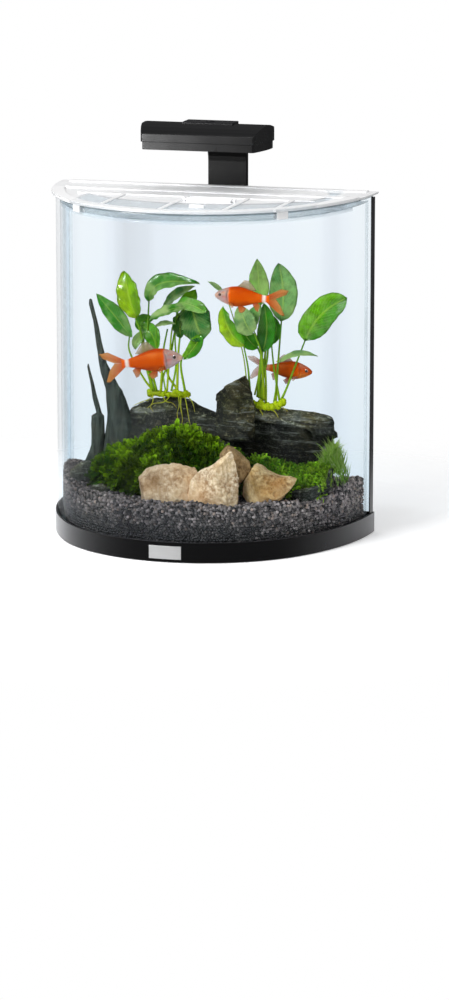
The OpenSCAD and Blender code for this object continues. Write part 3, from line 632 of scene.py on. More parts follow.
def fin_material():
    m, t = mat_new("fish_fin")
    vc = attr(t)
    uv = sepxyz(t, N(t, "ShaderNodeUVMap", uv_map="UVMap").outputs[0])
    ray = math_(t, "SINE", math_(t, "MULTIPLY", uv[1], 95.0))
    ray = ramp(t, math_(t, "MULTIPLY_ADD", ray, 0.5, 0.5), [(0.35, 0.0), (0.9, 1.0)])
    n = noise(t, 180.0, 3.0)
    c = mixc(t, math_(t, "MULTIPLY", ray, 0.55), vc.outputs["Color"], (0.72, 0.50, 0.35), "MULTIPLY")
    body = principled(t, color=c, rough=0.40, spec=0.06, normal=bump(t, ray, 0.4, 0.0003))
    tr = N(t, "ShaderNodeBsdfTranslucent", {"Color": c}).outputs[0]
    solid = mix_shader(t, 0.4, body, tr)
    clear = N(t, "ShaderNodeBsdfTransparent", {"Color": (1.0, 0.93, 0.88)}).outputs[0]
    a = math_(t, "MULTIPLY", vc.outputs["Alpha"], math_(t, "MULTIPLY_ADD", ray, 0.25, math_(t, "MULTIPLY_ADD", n, 0.2, 0.65)), clamp=True)
    out(t, mix_shader(t, a, clear, solid))
    return m


def eye_material():
    m, t = mat_new("fish_eye")
    a = attr(t).outputs["Color"]
    n = noise(t, 900.0, 2.0)
    out(t, principled(t, color=mixc(t, math_(t, "MULTIPLY", n, 0.15), a, (0.3, 0.2, 0.1)), rough=0.10, spec=0.5, coat=0.3))
    return m


M_SILICONE = silicone_material()
M_COVER = cover_material()
M_FLAP = cover_material("flap_clear", 0.22)
M_DIFFUSER = diffuser_material()
M_WATER = water_material()
M_EDGE = meniscus_material()
M_GRAVEL = gravel_material()
M_SAND = rock_material("sandstone_pitted", srgb("ccb28a"), srgb("7a5632"), srgb("ead8b8"), srgb("a67c50"), 1.0, 0.85, bump_s=0.8)
M_SAND2 = rock_material("sandstone_brown", srgb("8f7450"), srgb("543c26"), srgb("b1966c"), srgb("745838"), 1.2, 0.85, bump_s=0.7)
M_SLATE = rock_material("slate_split", srgb("393b31"), srgb("0b0c09"), srgb("a2a498"), srgb("4f4828"), 1.0, 0.72, veins=True, bump_s=1.0)
M_WOOD = wood_material()
M_MOSS = blade_material("moss_fronds")
M_MOSS_BED = rock_material("moss_bed", (0.030, 0.075, 0.012), (0.008, 0.022, 0.004), (0.07, 0.15, 0.02), (0.02, 0.05, 0.01), 3.0, 0.9)
M_LEAF = leaf_material()
M_STEM = stem_material()
M_FISH = fish_material()
M_FIN = fin_material()
M_EYE = eye_material()

NODE_MATS = {
    "base_tray": M_TRAY, "foot_pads": M_RUBBER, "bottom_glass": M_GLASS2, "front_glass": M_GLASS, "rear_glass": M_GLASS2, "silicone_seams": M_SILICONE,
    "rear_trim_left": M_SILICONE, "rear_trim_right": M_TRIM, "badge_plate": M_BADGE, "cover_lid": M_COVER, "lid_clips": M_WHITE,
    "feeding_flap": M_FLAP, "flap_pin": M_STEEL, "flap_grip": M_FLAP, "rear_bridge": M_COVER, "lamp_arm": M_ARM, "arm_screws": M_STEEL,
    "cable_gland": M_TRIM, "tilt_pin": M_STEEL, "lamp_upper_shell": M_LAMP, "lamp_lower_shell": M_LAMP, "shell_screws": M_STEEL,
    "lamp_diffuser": M_DIFFUSER, "led_board": M_BOARD, "led_chips": M_LED, "lamp_top_plate": M_LAMP_GLOSS, "lamp_button": M_LAMP_GLOSS}
for name, m in NODE_MATS.items():
    ms = NODES[name].data.materials
    if len(ms):
        for i in range(len(ms)):
            ms[i] = m
    else:
        ms.append(m)


# ------------------------------------------------------------------ camera, floor, light
def camera():
    az, p = 0.2786374, 0.2075585
    fw = Vector((-math.sin(az) * math.cos(p), math.cos(az) * math.cos(p), -math.sin(p)))
    rt = Vector((math.cos(az), math.sin(az), 0))
    up = rt.cross(fw)
    cam = bpy.data.cameras.new("camera")
    cam.lens, cam.sensor_width, cam.clip_end = 153.76, 36.0, 100.0
    o = bpy.data.objects.new("camera", cam)
    SC.collection.objects.link(o)
    m = Matrix((rt, up, -fw)).transposed().to_4x4()
    m.translation = Vector((1.444645, -4.911003, 1.129386))
    o.matrix_world = m
    SC.camera = o


def floor():
    me = bpy.data.meshes.new("floor")
    V, F = [(-42, -22, 0), (42, -22, 0), (0, 50, 0)], [(0, 1, 2)]
    me.from_pydata(V, [], F)
    m, t = mat_new("floor_pale")
    body = principled(t, color=(0.93, 0.93, 0.935), rough=0.8, spec=0.1, emit=0.17, emit_c=(1, 1, 1))
    pos = N(t, "ShaderNodeTexCoord").outputs["Object"]
    d = N(t, "ShaderNodeVectorMath", {0: pos}, operation="LENGTH").outputs["Value"]
    fade = N(t, "ShaderNodeMapRange", {"Value": d, "From Min": 0.34, "From Max": 0.74}, clamp=True, interpolation_type="SMOOTHSTEP").outputs[0]
    clear = N(t, "ShaderNodeBsdfTransparent").outputs[0]
    out(t, mix_shader(t, fade, body, clear))
    me.materials.append(m)
    o = bpy.data.objects.new("floor", me)
    SC.collection.objects.link(o)


def lights():
    w = bpy.data.worlds.new("studio")
    SC.world = w
    w.use_nodes = True
    t = w.node_tree
    t.nodes.clear()
    see = N(t, "ShaderNodeBackground", {"Color": (1, 1, 1), "Strength": 1.0}).outputs[0]
    d = sepxyz(t, N(t, "ShaderNodeTexCoord").outputs["Generated"])
    up = N(t, "ShaderNodeMapRange", {"Value": d[2], "From Min": -0.4, "From Max": 0.9, "To Min": 0.50, "To Max": 0.70}, clamp=True).outputs[0]
    side = N(t, "ShaderNodeMapRange", {"Value": d[0], "From Min": -1.0, "From Max": 0.7, "To Min": 1.0, "To Max": 0.75}, clamp=True).outputs[0]
    soft = N(t, "ShaderNodeBackground", {"Color": (0.985, 0.99, 1.0), "Strength": math_(t, "MULTIPLY", up, side)}).outputs[0]
    # what shiny faces mirror: a bright wall on the left, a dim room in front
    left = N(t, "ShaderNodeMapRange", {"Value": math_(t, "MULTIPLY_ADD", d[1], 0.35, d[0]), "From Min": -0.95, "From Max": -0.35, "To Min": 1.0, "To Max": 0.09}, clamp=True).outputs[0]
    right = N(t, "ShaderNodeMapRange", {"Value": d[0], "From Min": 0.45, "From Max": 0.95, "To Min": 0.0, "To Max": 0.45}, clamp=True).outputs[0]
    sky = N(t, "ShaderNodeMapRange", {"Value": d[2], "From Min": 0.35, "From Max": 0.95, "To Min": 0.0, "To Max": 0.30}, clamp=True).outputs[0]
    mirror = N(t, "ShaderNodeBackground", {"Color": (0.985, 0.99, 1.0), "Strength": math_(t, "ADD", math_(t, "ADD", left, right), sky)}).outputs[0]
    lp = N(t, "ShaderNodeLightPath").outputs
    light = mix_shader(t, lp["Is Glossy Ray"], soft, mirror)
    N(t, "ShaderNodeOutputWorld", {"Surface": mix_shader(t, lp["Is Camera Ray"], light, see)})

    def area(name, at, aim, size, size_y, power):
        li = bpy.data.lights.new(name, "AREA")
        li.shape, li.size, li.size_y, li.energy = "RECTANGLE", size, size_y, power
        o = bpy.data.objects.new(name, li)
        SC.collection.objects.link(o)
        o.location = at
        o.rotation_euler = (Vector(aim) - Vector(at)).to_track_quat("-Z", "Y").to_euler()
        return o
    area("key", (-0.95, -1.95, 1.55), (0, 0, 0.2), 0.9, 0.9, 52)
    area("top", (0.15, -0.35, 1.7), (0, 0, 0.2), 1.0, 0.8, 7)
    area("fill", (1.9, -1.7, 0.9), (0, 0, 0.2), 1.0, 1.4, 8)
    # a small strip that only shows as sheen on the lamp
    for name, at, aim, sx, sy, power in (("strip_lamp", (-0.37, -0.46, 0.46), (-0.03, 0, 0.49), 0.18, 0.14, 14.0),):
        o = area(name, at, aim, sx, sy, power)
        o.visible_diffuse = False
        o.visible_transmission = False
        o.visible_camera = False


camera()
floor()
lights()
SC.view_settings.view_transform = "Standard"
SC.cycles.transparent_max_bounces = 20
SC.cycles.max_bounces = 10


# ------------------------------------------------------------------ gravel
rng = np.random.default_rng(7)


def bed_height(x, y):
    x, y = np.asarray(x, float), np.asarray(y, float)
    h = 62.5 + 0.045 * y
    h = h + 12.0 * np.exp(-((x + 182) / 34) ** 2 - ((y - 50) / 60) ** 2)
    h = h + 9.0 * np.exp(-((x - 178) / 30) ** 2 - ((y - 62) / 44) ** 2)
    h = h + 8.5 * np.exp(-((y + 84) / 21) ** 2) * np.exp(-((x - 20) / 88) ** 2)
    h = h + 9.0 * np.exp(-((x - 124) / 34) ** 2 - ((y + 60) / 22) ** 2)
    p = np.stack([x, y, np.zeros_like(x)], 1) if x.ndim else np.array([[float(x), float(y), 0.0]])
    return h + 1.4 * vnoise(p, 34.0, 3)


def gravel():
    # body of the bed under the grains, coloured near black: painted shade for the gaps between the grains
    ring = outline(12.6, 104.0, 26, 44)
    c = np.array([0.0, 20.0])
    steps = np.linspace(1.0, 0.0, 22)[:-1]
    V = []
    for zlow in (12.1, 30.0, 48.0):
        V.append(np.column_stack([ring, np.full(len(ring), zlow)]))
    for s in steps:
        q = c + (ring - c) * s
        V.append(np.column_stack([q, bed_height(q[:, 0], q[:, 1]) - 2.2]))
    n = len(ring)
    V = np.vstack(V + [[[c[0], c[1], bed_height(0.0, 20.0)[0] - 2.2]]])
    F = []
    rows = 3 + len(steps)
    for j in range(rows - 1):
        for k in range(n):
            a, b = j * n + k, j * n + (k + 1) % n
            F.append((a, b, b + n))
            F.append((a, b + n, a + n))
    top = (rows - 1) * n
    F += [(top + k, top + (k + 1) % n, len(V) - 1) for k in range(n)]
    V = np.vstack([V, [[0, 20, 12.1]]])
    F += [((k + 1) % n, k, len(V) - 1) for k in range(n)]
    build("gravel_core", V, np.array(F), M_GRAVEL, "gravel", cols=np.tile([0.012, 0.010, 0.010], (len(V), 1)), replaces=("gravel_bed",))
    # grains
    base_v, base_f = ICO[1]
    pts, side = [], []
    # small grains where the bed is open, larger ones under the stones and plants
    for step, small in ((4.2, True), (5.4, False)):
        gx, gy = np.meshgrid(np.arange(-194, 195, step), np.arange(-122, 113, step * 0.9))
        gx = gx + (np.arange(gx.shape[0])[:, None] % 2) * step / 2
        gx = (gx + rng.uniform(-0.24, 0.24, gx.shape) * step).ravel()
        gy = (gy + rng.uniform(-0.24, 0.24, gy.shape) * step).ravel()
        cover = (gx > -110) & (gx < 140) & (gy > -24) & (gy < 98)
        pts.append(np.column_stack([gx, gy])[cover != small])
    side = np.r_[np.full(len(pts[0]), 1.0), np.full(len(pts[1]), 1.28)]
    x, y = np.vstack(pts).T
    keep = inside(x, y, 11.6, 104.5)
    x, y, side = x[keep], y[keep], side[keep]
    # hidden under the big stones and moss: leave most of these out
    hid = (x > -95) & (x < 150) & (y > -25) & (y < 90) & (rng.random(len(x)) < 0.75)
    x, y, side = x[~hid], y[~hid], side[~hid]
    z = bed_height(x, y) + rng.uniform(-2.2, 1.4, len(x))
    top_pts = np.column_stack([x, y, z])
    # against the glass
    rim = outline(11.35, 104.6, 60, 110)
    seg = np.vstack([rim, rim[:1]])
    L = np.r_[0, np.cumsum(np.linalg.norm(np.diff(seg, axis=0), axis=1))]
    wall = []
    for i, zz in enumerate(np.arange(23.0, 82.0, 3.3)):
        s = np.arange(0, L[-1], 3.7) + (i % 2) * 1.85
        s = s + rng.uniform(-0.8, 0.8, len(s))
        s = np.clip(s, 0, L[-1] - 0.01)
        px = np.interp(s, L, seg[:, 0])
        py = np.interp(s, L, seg[:, 1])
        wall.append(np.column_stack([px, py, zz + rng.uniform(-0.8, 0.8, len(s))]))
    wall = np.vstack(wall)
    wall = wall[wall[:, 2] < bed_height(wall[:, 0], wall[:, 1])]
    P = np.vstack([top_pts, wall])
    n = len(P)
    r = rng.uniform(1.8, 2.7, n)
    r[:len(top_pts)] *= side
    r[len(top_pts):] = rng.uniform(1.8, 2.35, n - len(top_pts))
    ax = unit(rng.normal(size=(n, 3)))
    an = rng.uniform(0, math.pi, n)
    K = np.zeros((n, 3, 3))
    K[:, 0, 1], K[:, 0, 2], K[:, 1, 0], K[:, 1, 2], K[:, 2, 0], K[:, 2, 1] = -ax[:, 2], ax[:, 1], ax[:, 2], -ax[:, 0], -ax[:, 1], ax[:, 0]
    R = np.eye(3) + np.sin(an)[:, None, None] * K + (1 - np.cos(an))[:, None, None] * (K @ K)
    sc = rng.uniform(0.76, 1.08, (n, 3)) * r[:, None]
    nb = len(base_v)
    rad = 1 + 0.10 * rng.uniform(-1, 1, (n, nb))
    V = base_v[None] * rad[..., None] * sc[:, None, :]
    V = np.einsum("nij,nkj->nki", R, V) + P[:, None, :]
    tone = rng.normal(0.0, 1.0, n)
    col = np.array([0.218, 0.176, 0.160]) * np.clip(0.95 + 0.75 * tone, 0.12, 2.6)[:, None]
    warm = rng.random(n) < 0.10
    col[warm] *= np.array([1.15, 1.02, 0.90])
    # painted shade: grains lower in the bed, such as those against the front glass, darken down to 7% near the tray,
    # less so towards the right
    depth = smooth(30, 74, P[:, 2] + 6 * fbm(P, 16.0, 2, 61) + 16 * smooth(60, 160, P[:, 0]))
    col *= (0.07 + 0.93 * depth)[:, None]
    col *= np.exp((1 - depth) * rng.normal(0.0, 0.7, n))[:, None]
    # painted shade on the pile at the left (down to 66%) and painted light on the bed at the right (up to 130%)
    col *= (1 + 0.30 * smooth(90, 170, P[:, 0]) - 0.34 * smooth(-90, -170, P[:, 0]))[:, None]
    half = n // 4 + 1
    for i in range(4):
        a, b = i * half, min(n, (i + 1) * half)
        m = b - a
        F = (base_f[None] + (np.arange(m) * nb)[:, None, None]).reshape(-1, 3)
        build(f"gravel_grains_{i}", V[a:b].reshape(-1, 3), F, M_GRAVEL, "gravel", cols=np.repeat(col[a:b], nb, axis=0))
    return n


# ------------------------------------------------------------------ stones
def star(poly, ang, centre):
    """Distance from centre to the polygon in each direction ang."""
    P = np.asarray(poly, float) - centre
    Q = np.roll(P, -1, axis=0)
    d = np.stack([np.cos(ang), np.sin(ang)], 1)
    best = np.full(len(ang), 0.0)
    for a, b in zip(P, Q):
        e = b - a
        den = d[:, 0] * e[1] - d[:, 1] * e[0]
        den = np.where(np.abs(den) < 1e-9, 1e-9, den)
        s = (a[0] * e[1] - a[1] * e[0]) / den
        u = (a[0] * d[:, 1] - a[1] * d[:, 0]) / den
        ok = (s > 0) & (u >= -1e-6) & (u <= 1 + 1e-6)
        best = np.where(ok & (s > best), s, best)
    return best


def stone(name, poly, y0, y1, mat, slot, seed, level=5, planes=9, rough=1.2, lean=0.0, ledge=None, shape=None, tone=None, box=0.55, replaces=(), V_only=False, centre=None, cut=1.0, facets=()):
    D, F = ICO[level]
    poly = np.asarray(poly, float)
    c = poly.mean(0) if centre is None else np.array(centre, float)
    a = np.arctan2(D[:, 2], D[:, 0])
    R = star(poly, a, c)
    m = np.hypot(D[:, 0], D[:, 2])
    rho = np.sin(np.clip(m, 0, 1) * math.pi / 2) ** 0.9
    rho = m ** box
    tau = np.sign(D[:, 1]) * np.abs(D[:, 1]) ** 0.8
    yc, yh = (y0 + y1) / 2, (y1 - y0) / 2
    V = np.column_stack([c[0] + rho * R * np.cos(a), yc + tau * yh, c[1] + rho * R * np.sin(a)])
    C = np.array([c[0], yc, c[1]])
    g = np.random.default_rng(seed)
    size = np.array([np.ptp(poly[:, 0]) / 2, yh, np.ptp(poly[:, 1]) / 2])
    for _ in range(planes):
        nrm = unit(g.normal(size=3) * [1, 1.6, 1])
        h = np.sqrt(((nrm * size) ** 2).sum()) * g.uniform(0.74, 0.92) * cut
        d = (V - C) @ nrm - h
        V = V - np.where(d > 0, d * 0.7, 0)[:, None] * nrm
    for f, k in facets:
        nrm = unit(np.array(f, float))
        d = (V - C) @ nrm - np.sqrt(((nrm * size) ** 2).sum()) * k
        V = V - np.where(d > 0, d * 0.96, 0)[:, None] * nrm
    if lean:
        V[:, 1] += lean * (V[:, 2] - c[1])
    nrm = vertex_normals(V, F)
    V = V + nrm * (rough * 1.6 * fbm(V, 26.0, 3, seed) + rough * 0.8 * fbm(V, 8.0, 3, seed + 5) - rough * 0.9 * smooth(0.25, 0.6, fbm(V, 6.0, 2, seed + 8)))[:, None]
    layer_tone_lip_highlight = None
    if ledge:
        t, amp, tilt = ledge
        q = V @ unit(np.array([tilt[0], tilt[1], 1.0])) + 2.6 * fbm(V, 30.0, 3, seed + 9)
        k = np.floor(q / t)
        f = q / t - k
        o = hashed(k.astype(np.int64), np.zeros(len(k), np.int64), np.zeros(len(k), np.int64), seed) * 2 - 1
        o2 = hashed(k.astype(np.int64) + 1, np.zeros(len(k), np.int64), np.zeros(len(k), np.int64), seed) * 2 - 1
        w = smooth(0.84, 1.0, f)
        flat = unit(nrm * [1, 1, 0.12])
        here = 0.55 + 0.9 * smooth(-0.4, 0.4, fbm(V, 34.0, 2, seed + 12))
        V = V + flat * (amp * here * (o * (1 - w) + o2 * w))[:, None]
        # layer tone varies at random per layer; where a layer stands out over the next one its lip is painted up to 50%
        # lighter: painted highlight on the ledge edges
        layer_tone_lip_highlight = (1 + 0.30 * o) * (1 + 0.5 * w * (o > o2))
    if shape is not None:
        V = shape(V)
    nrm = vertex_normals(V, F)
    V = keep_in(V + nrm * (0.35 * fbm(V, 3.2, 2, seed + 31))[:, None])
    cols = np.ones((len(V), 3)) if tone is None else tone(V, nrm)
    if layer_tone_lip_highlight is not None:
        cols = cols * layer_tone_lip_highlight[:, None]
    if V_only:
        return V, F, cols
    return build(name, V, F, mat, slot, cols=cols, replaces=replaces)


def patch(V, spots):
    """Multiplies colour near given points: (x, y, z, radius, (r, g, b))."""
    c = np.ones((len(V), 3))
    for x, y, z, r, k in spots:
        w = np.exp(-(((V - np.array([x, y, z])) ** 2).sum(1)) / r ** 2)
        w = np.clip(w * (1 + 0.5 * fbm(V, 9.0, 2, 77)), 0, 1)
        c *= 1 + w[:, None] * (np.array(k) - 1)
    return c


def stones():
    stone("sandstone_a_stone", [(-50, 70), (-46, 60), (-20, 52), (12, 54), (24, 70), (26, 98), (21, 107), (-4, 110), (-29, 106), (-43, 100), (-50, 88)], -84, -42,
          M_SAND, "sandstone", 11, replaces=("sandstone_a",), rough=1.3, planes=3, box=0.42, facets=[((-0.25, -1, 0.2), 0.70), ((0.55, -0.9, 0.5), 0.74), ((-0.6, -0.6, 0.9), 0.74), ((0.15, -0.4, 1), 0.82), ((-0.9, -0.5, -0.15), 0.82)],
          tone=lambda V, n: patch(V, [(-24, -80, 92, 11, (0.52, 0.42, 0.30)), (-20, -82, 89, 2.6, (0.05, 0.04, 0.03)), (-48, -70, 80, 9, (0.66, 0.54, 0.42)), (-30, -76, 106, 7, (0.74, 0.62, 0.50)), (-34, -74, 84, 14, (0.85, 0.74, 0.62)),
                                      (10, -70, 100, 20, (0.95, 0.84, 0.72)), (-10, -80, 70, 16, (1.02, 0.98, 0.93))]) * [1.06, 1.0, 0.98])
    stone("sandstone_b_stone", [(14, 62), (18, 78), (20, 93), (31, 104), (45, 112), (58, 122), (67, 130), (71, 127), (74, 110), (76, 100), (80, 96), (80, 74), (73, 58), (44, 50), (22, 54)], -90, -48,
          M_SAND, "sandstone", 23, replaces=("sandstone_b",), rough=1.3, centre=(50, 86), planes=3, box=0.42, cut=1.05, facets=[((-0.42, -1, 0.12), 0.68), ((0.9, -0.75, 0.15), 0.60), ((-0.5, -0.5, 0.9), 0.66), ((0.1, -1, -0.3), 0.76)],
          tone=lambda V, n: patch(V, [(27, -84, 98, 7, (0.50, 0.38, 0.28)), (66, -84, 94, 6, (0.58, 0.44, 0.30)), (72, -80, 108, 7, (0.72, 0.60, 0.46)), (36, -88, 74, 6, (0.80, 0.68, 0.54)), (45, -88, 74, 22, (1.04, 1.0, 0.96)),
                                      (60, -80, 118, 14, (1.0, 0.93, 0.82))]) * [1.36, 1.31, 1.30])
    stone("sandstone_c_stone", [(45, 100), (44, 119), (47, 127), (53, 130), (60, 127), (70, 118), (80, 109), (83, 100), (80, 90), (70, 80), (52, 84)], -46, -16,
          M_SAND2, "sandstone", 35, replaces=("sandstone_c",), rough=1.2, planes=4, box=0.45, cut=1.05, facets=[((-0.6, -1, 0.5), 0.66), ((0.8, -0.7, 0.4), 0.66)],
          tone=lambda V, n: patch(V, [(66, -40, 110, 9, (0.62, 0.52, 0.44)), (52, -42, 122, 7, (1.2, 1.15, 1.05))]) * [1.22, 1.16, 1.08])
    stone("sandstone_d_stone", [(76, 70), (77, 86), (84, 99), (91, 110), (97, 107), (104, 101), (121, 96), (134, 97), (143, 95), (138, 84), (124, 68), (98, 56), (82, 58)], -62, -20,
          M_SAND, "sandstone", 47, replaces=("sandstone_d",), rough=1.2, centre=(104, 84), planes=3, box=0.42, cut=1.05, facets=[((-0.8, -0.9, 0.0), 0.64), ((0.5, -0.8, 0.4), 0.68), ((0.25, -0.35, 1), 0.78)],
          tone=lambda V, n: patch(V, [(98, -56, 88, 12, (0.50, 0.44, 0.28)), (78, -54, 88, 7, (1.2, 1.2, 1.25)), (112, -56, 84, 16, (0.92, 0.74, 0.50)), (124, -44, 92, 10, (0.8, 0.62, 0.42)),
                                      (90, -50, 102, 9, (0.95, 0.82, 0.62))]) * [0.98, 0.90, 0.72])

    def top_light(V, n):
        # painted light: faces turned up are painted up to 2.2 times against 0.70 on upright faces; the two noise
        # patches are the slate's own tints
        c = np.ones((len(V), 3)) * (0.70 + 1.5 * smooth(0.35, 0.95, n[:, 2]))[:, None]
        g = smooth(-0.1, 0.5, fbm(V, 28.0, 3, 5))
        c *= 1 + g[:, None] * (np.array([0.98, 1.04, 0.74]) - 1)
        g = smooth(0.05, 0.4, fbm(V, 40.0, 3, 17))
        c *= 1 + g[:, None] * (np.array([1.25, 1.10, 0.80]) - 1)
        return c
    stone("slate_mound_rock", [(-136, 60), (-140, 112), (-128, 132), (-104, 142), (-90, 154), (-70, 164), (-51, 170), (-30, 169), (-13, 168), (6, 165), (24, 165), (34, 150), (38, 120), (34, 60)], 26, 74,
          M_SLATE, "slate", 61, replaces=("slate_mound",), ledge=(10.0, 2.2, (0.30, 0.15)), rough=2.2, box=0.42, planes=9, cut=1.0, tone=lambda V, n: top_light(V, n) * [0.97, 0.90, 0.76], centre=(-48, 112), facets=[((0.0, -0.8, 1.0), 0.86), ((-0.5, -0.6, 1.0), 0.90), ((-0.9, 0.9, 0.3), 0.8), ((0.9, 0.9, 0.4), 0.9)])
    # the upright's top end (z 182 to 196 mm) is painted lighter: painted light on its top
    stone("slate_upright_rock", [(18, 120), (18, 160), (18, 178), (25, 186), (36, 193), (44, 197), (55, 202), (61, 194), (64, 176), (68, 160), (66, 120)], 29, 55,
          M_SLATE, "slate", 73, replaces=("slate_upright",), ledge=(6.5, 1.4, (0.9, 0.2)), rough=1.3, box=0.36, planes=5, cut=1.12, tone=lambda V, n: top_light(V, n) * (0.92 + 0.55 * smooth(-0.1, 0.45, fbm(V * [1, 1, 0.5], 13.0, 3, 41)) + 0.35 * smooth(182, 196, V[:, 2]))[:, None] * [1.14, 1.02, 0.76], centre=(42, 160), facets=[((-0.7, -1, 0.2), 0.74), ((0.8, -1, 0.3), 0.74)])

    def overhang(V):
        w = smooth(128, 112, V[:, 2]) * smooth(30, 50, V[:, 0]) * smooth(166, 146, V[:, 0])
        front = smooth(95, 62, V[:, 1])
        V[:, 1] += w * front * 17
        return V

    def slab_tone(V, n):
        c = top_light(V, n)
        # painted shade: below z 132 mm, under the overhang, the slab is painted up to 62% darker and warmer
        w = smooth(132, 112, V[:, 2])
        c *= 1 - 0.62 * w[:, None]
        c *= 1 + w[:, None] * (np.array([1.1, 1.0, 0.8]) - 1)
        return c
    stone("slate_slab_rock", [(21, 60), (21, 126), (30, 142), (48, 158), (66, 157), (80, 155), (100, 154), (120, 152), (144, 150), (157, 149), (163, 142), (164, 130), (160, 116), (157, 98), (140, 60)], 57, 101,
          M_SLATE, "slate", 83, replaces=("slate_slab",), ledge=(8.5, 4.2, (0.20, 0.12)), rough=1.5, box=0.20, planes=3, cut=1.3, shape=overhang, tone=slab_tone, centre=(92, 120), facets=[((0.05, -0.75, 1.0), 0.86), ((0.9, 0.9, 0.3), 0.86), ((-0.2, 1, 0.7), 0.84)])
    # small rocks in the gravel
    for i, (poly, y0, y1, seed) in enumerate([
            ([(154, 66), (158, 76), (166, 86), (174, 96), (181, 102), (184, 96), (181, 84), (172, 72), (162, 62)], 6, 22, 91),
            ([(122, 58), (124, 70), (134, 76), (152, 79), (166, 82), (170, 76), (160, 66), (140, 56)], -20, 2, 92),
            ([(-168, 58), (-163, 76), (-152, 86), (-140, 88), (-130, 80), (-124, 66), (-140, 54)], 8, 40, 93),
            ([(-128, 56), (-124, 68), (-112, 72), (-98, 68), (-96, 58), (-110, 50)], -26, -6, 94),
            ([(142, 56), (146, 70), (154, 77), (166, 76), (170, 64), (158, 54)], 22, 46, 95)]):
        stone(f"slate_chip_{i}", poly, y0, y1, M_SLATE, "slate", seed, level=3, planes=7, rough=0.9, tone=top_light, replaces=("slate_chips",) if i == 0 else ())


# ------------------------------------------------------------------ driftwood
def limb(levels, rings, segs, seed, depth=0.62, knots=()):
    """levels: rows of z, left x, right x, y. Returns a tapered, grooved stick."""
    L = np.array(sorted(levels))
    z = np.linspace(L[0, 0], L[-1, 0], rings)
    xl, xr, yy = (np.interp(z, L[:, 0], L[:, k]) for k in (1, 2, 3))
    a = np.linspace(0, 2 * math.pi, segs, endpoint=False)
    w = (xr - xl) / 2
    cx = (xl + xr) / 2
    w2 = np.maximum(w * depth, np.minimum(w, 2.4))
    X = cx[:, None] + w[:, None] * np.cos(a)
    Yv = yy[:, None] + w2[:, None] * np.sin(a)
    Z = np.repeat(z[:, None], segs, 1)
    V = np.stack([X, Yv, Z], -1).reshape(-1, 3)
    out_dir = np.stack([np.cos(a), np.sin(a), 0 * a], 1)
    out_dir = np.tile(out_dir, (rings, 1))
    q = V * [1, 1, 0.16]
    groove = fbm(q, 4.2, 3, seed)
    twist = fbm(V * [1, 1, 0.5], 20.0, 2, seed + 3)
    amp = np.repeat(np.minimum(w, 9.0) / 9.0, segs)
    V = V + out_dir * (amp * (1.5 * groove + 1.8 * twist))[:, None]
    F = []
    for j in range(rings - 1):
        for k in range(segs):
            a0, a1 = j * segs + k, j * segs + (k + 1) % segs
            F.append((a0, a1, a1 + segs, a0 + segs))
    F = [(f[0], f[1], f[2]) for f in F] + [(f[0], f[2], f[3]) for f in F]
    tip = V[-segs:].mean(0) + [0, 0, 1.2]
    V = np.vstack([V, [tip], [V[:segs].mean(0)]])
    F += [((rings - 1) * segs + k, (rings - 1) * segs + (k + 1) % segs, len(V) - 2) for k in range(segs)]
    F += [((k + 1) % segs, k, len(V) - 1) for k in range(segs)]
    tone = np.r_[1.0 + 0.45 * groove, 1.0, 1.0]
    return V, np.array(F), np.clip(tone, 0.45, 1.6)[:, None] * np.array([[1.0, 1.0, 1.0]])


def driftwood():
    bag = Bag()
    V, F, c = limb([(58, -133, -84, 42), (100, -128, -82, 42), (130, -123.5, -81, 42), (147, -121.5, -90, 41.5), (175, -123.5, -101, 40), (209, -131, -120.5, 39.5),
                    (240, -135.5, -128, 40), (262, -138.8, -133, 40.5), (282, -144.2, -138.4, 41), (288, -143.8, -140, 41)], 150, 40, 5)
    bag.add(V, F, c)
    V, F, c = limb([(58, -146, -122, 41), (100, -142, -125, 41), (143, -141.5, -125, 40.5), (147, -135, -128, 40), (165, -139.5, -133.5, 40), (183, -142.5, -138, 40), (204, -146.5, -143.5, 40),
                    (207, -146, -144.4, 40)], 110, 26, 9, depth=0.8)
    bag.add(V, F, c)
    V, F, c = limb([(60, -158, -138, 36), (82, -152, -136, 38), (100, -144, -132, 40), (112, -140, -130, 40)], 40, 20, 13, depth=0.8)
    bag.add(V, F, c)
    bag.done("driftwood_spikes", M_WOOD, "driftwood", replaces=("driftwood",))


# ------------------------------------------------------------------ moss
def frond_template(g, leaflets=15):
    """One feathery frond along +X: a thin stem with paired narrow leaflets. Returns V, F, t (0 foot to 1 tip)."""
    V, F, T = [], [], []
    for i in range(leaflets):
        t = (i + 0.5) / leaflets
        for s in (-1, 1):
            l = 0.34 * (1 - 0.55 * abs(t - 0.35)) * g.uniform(0.75, 1.2)
            w = 0.080 * g.uniform(0.8, 1.25)
            ang = g.uniform(0.75, 1.15) * (1 - 0.35 * t)
            d = np.array([math.cos(ang), s * math.sin(ang), 0])
            side = np.array([-d[1], d[0], 0])
            up = g.uniform(-0.10, 0.16)
            base = np.array([t, 0, 0.10 * math.sin(t * 2.4)])
            n = len(V)
            V += [base, base + d * l * 0.5 + side * w + [0, 0, up * 0.6], base + d * l + [0, 0, up * 0.2 - 0.02], base + d * l * 0.5 - side * w + [0, 0, up * 0.6]]
            F += [(n, n + 1, n + 2), (n, n + 2, n + 3)]
            T += [t * 0.7, t * 0.7 + 0.15, t * 0.7 + 0.35, t * 0.7 + 0.15]
    n = len(V)
    V += [np.array(p) for p in ([0, -0.02, -0.01], [0, 0.02, -0.01], [0.5, 0.015, 0.08], [0.5, -0.015, 0.08], [1, 0, 0.07])]
    F += [(n, n + 1, n + 2), (n, n + 2, n + 3), (n + 3, n + 2, n + 4)]
    T += [0, 0, 0.4, 0.4, 0.9]
    return np.array(V), np.array(F), np.array(T)


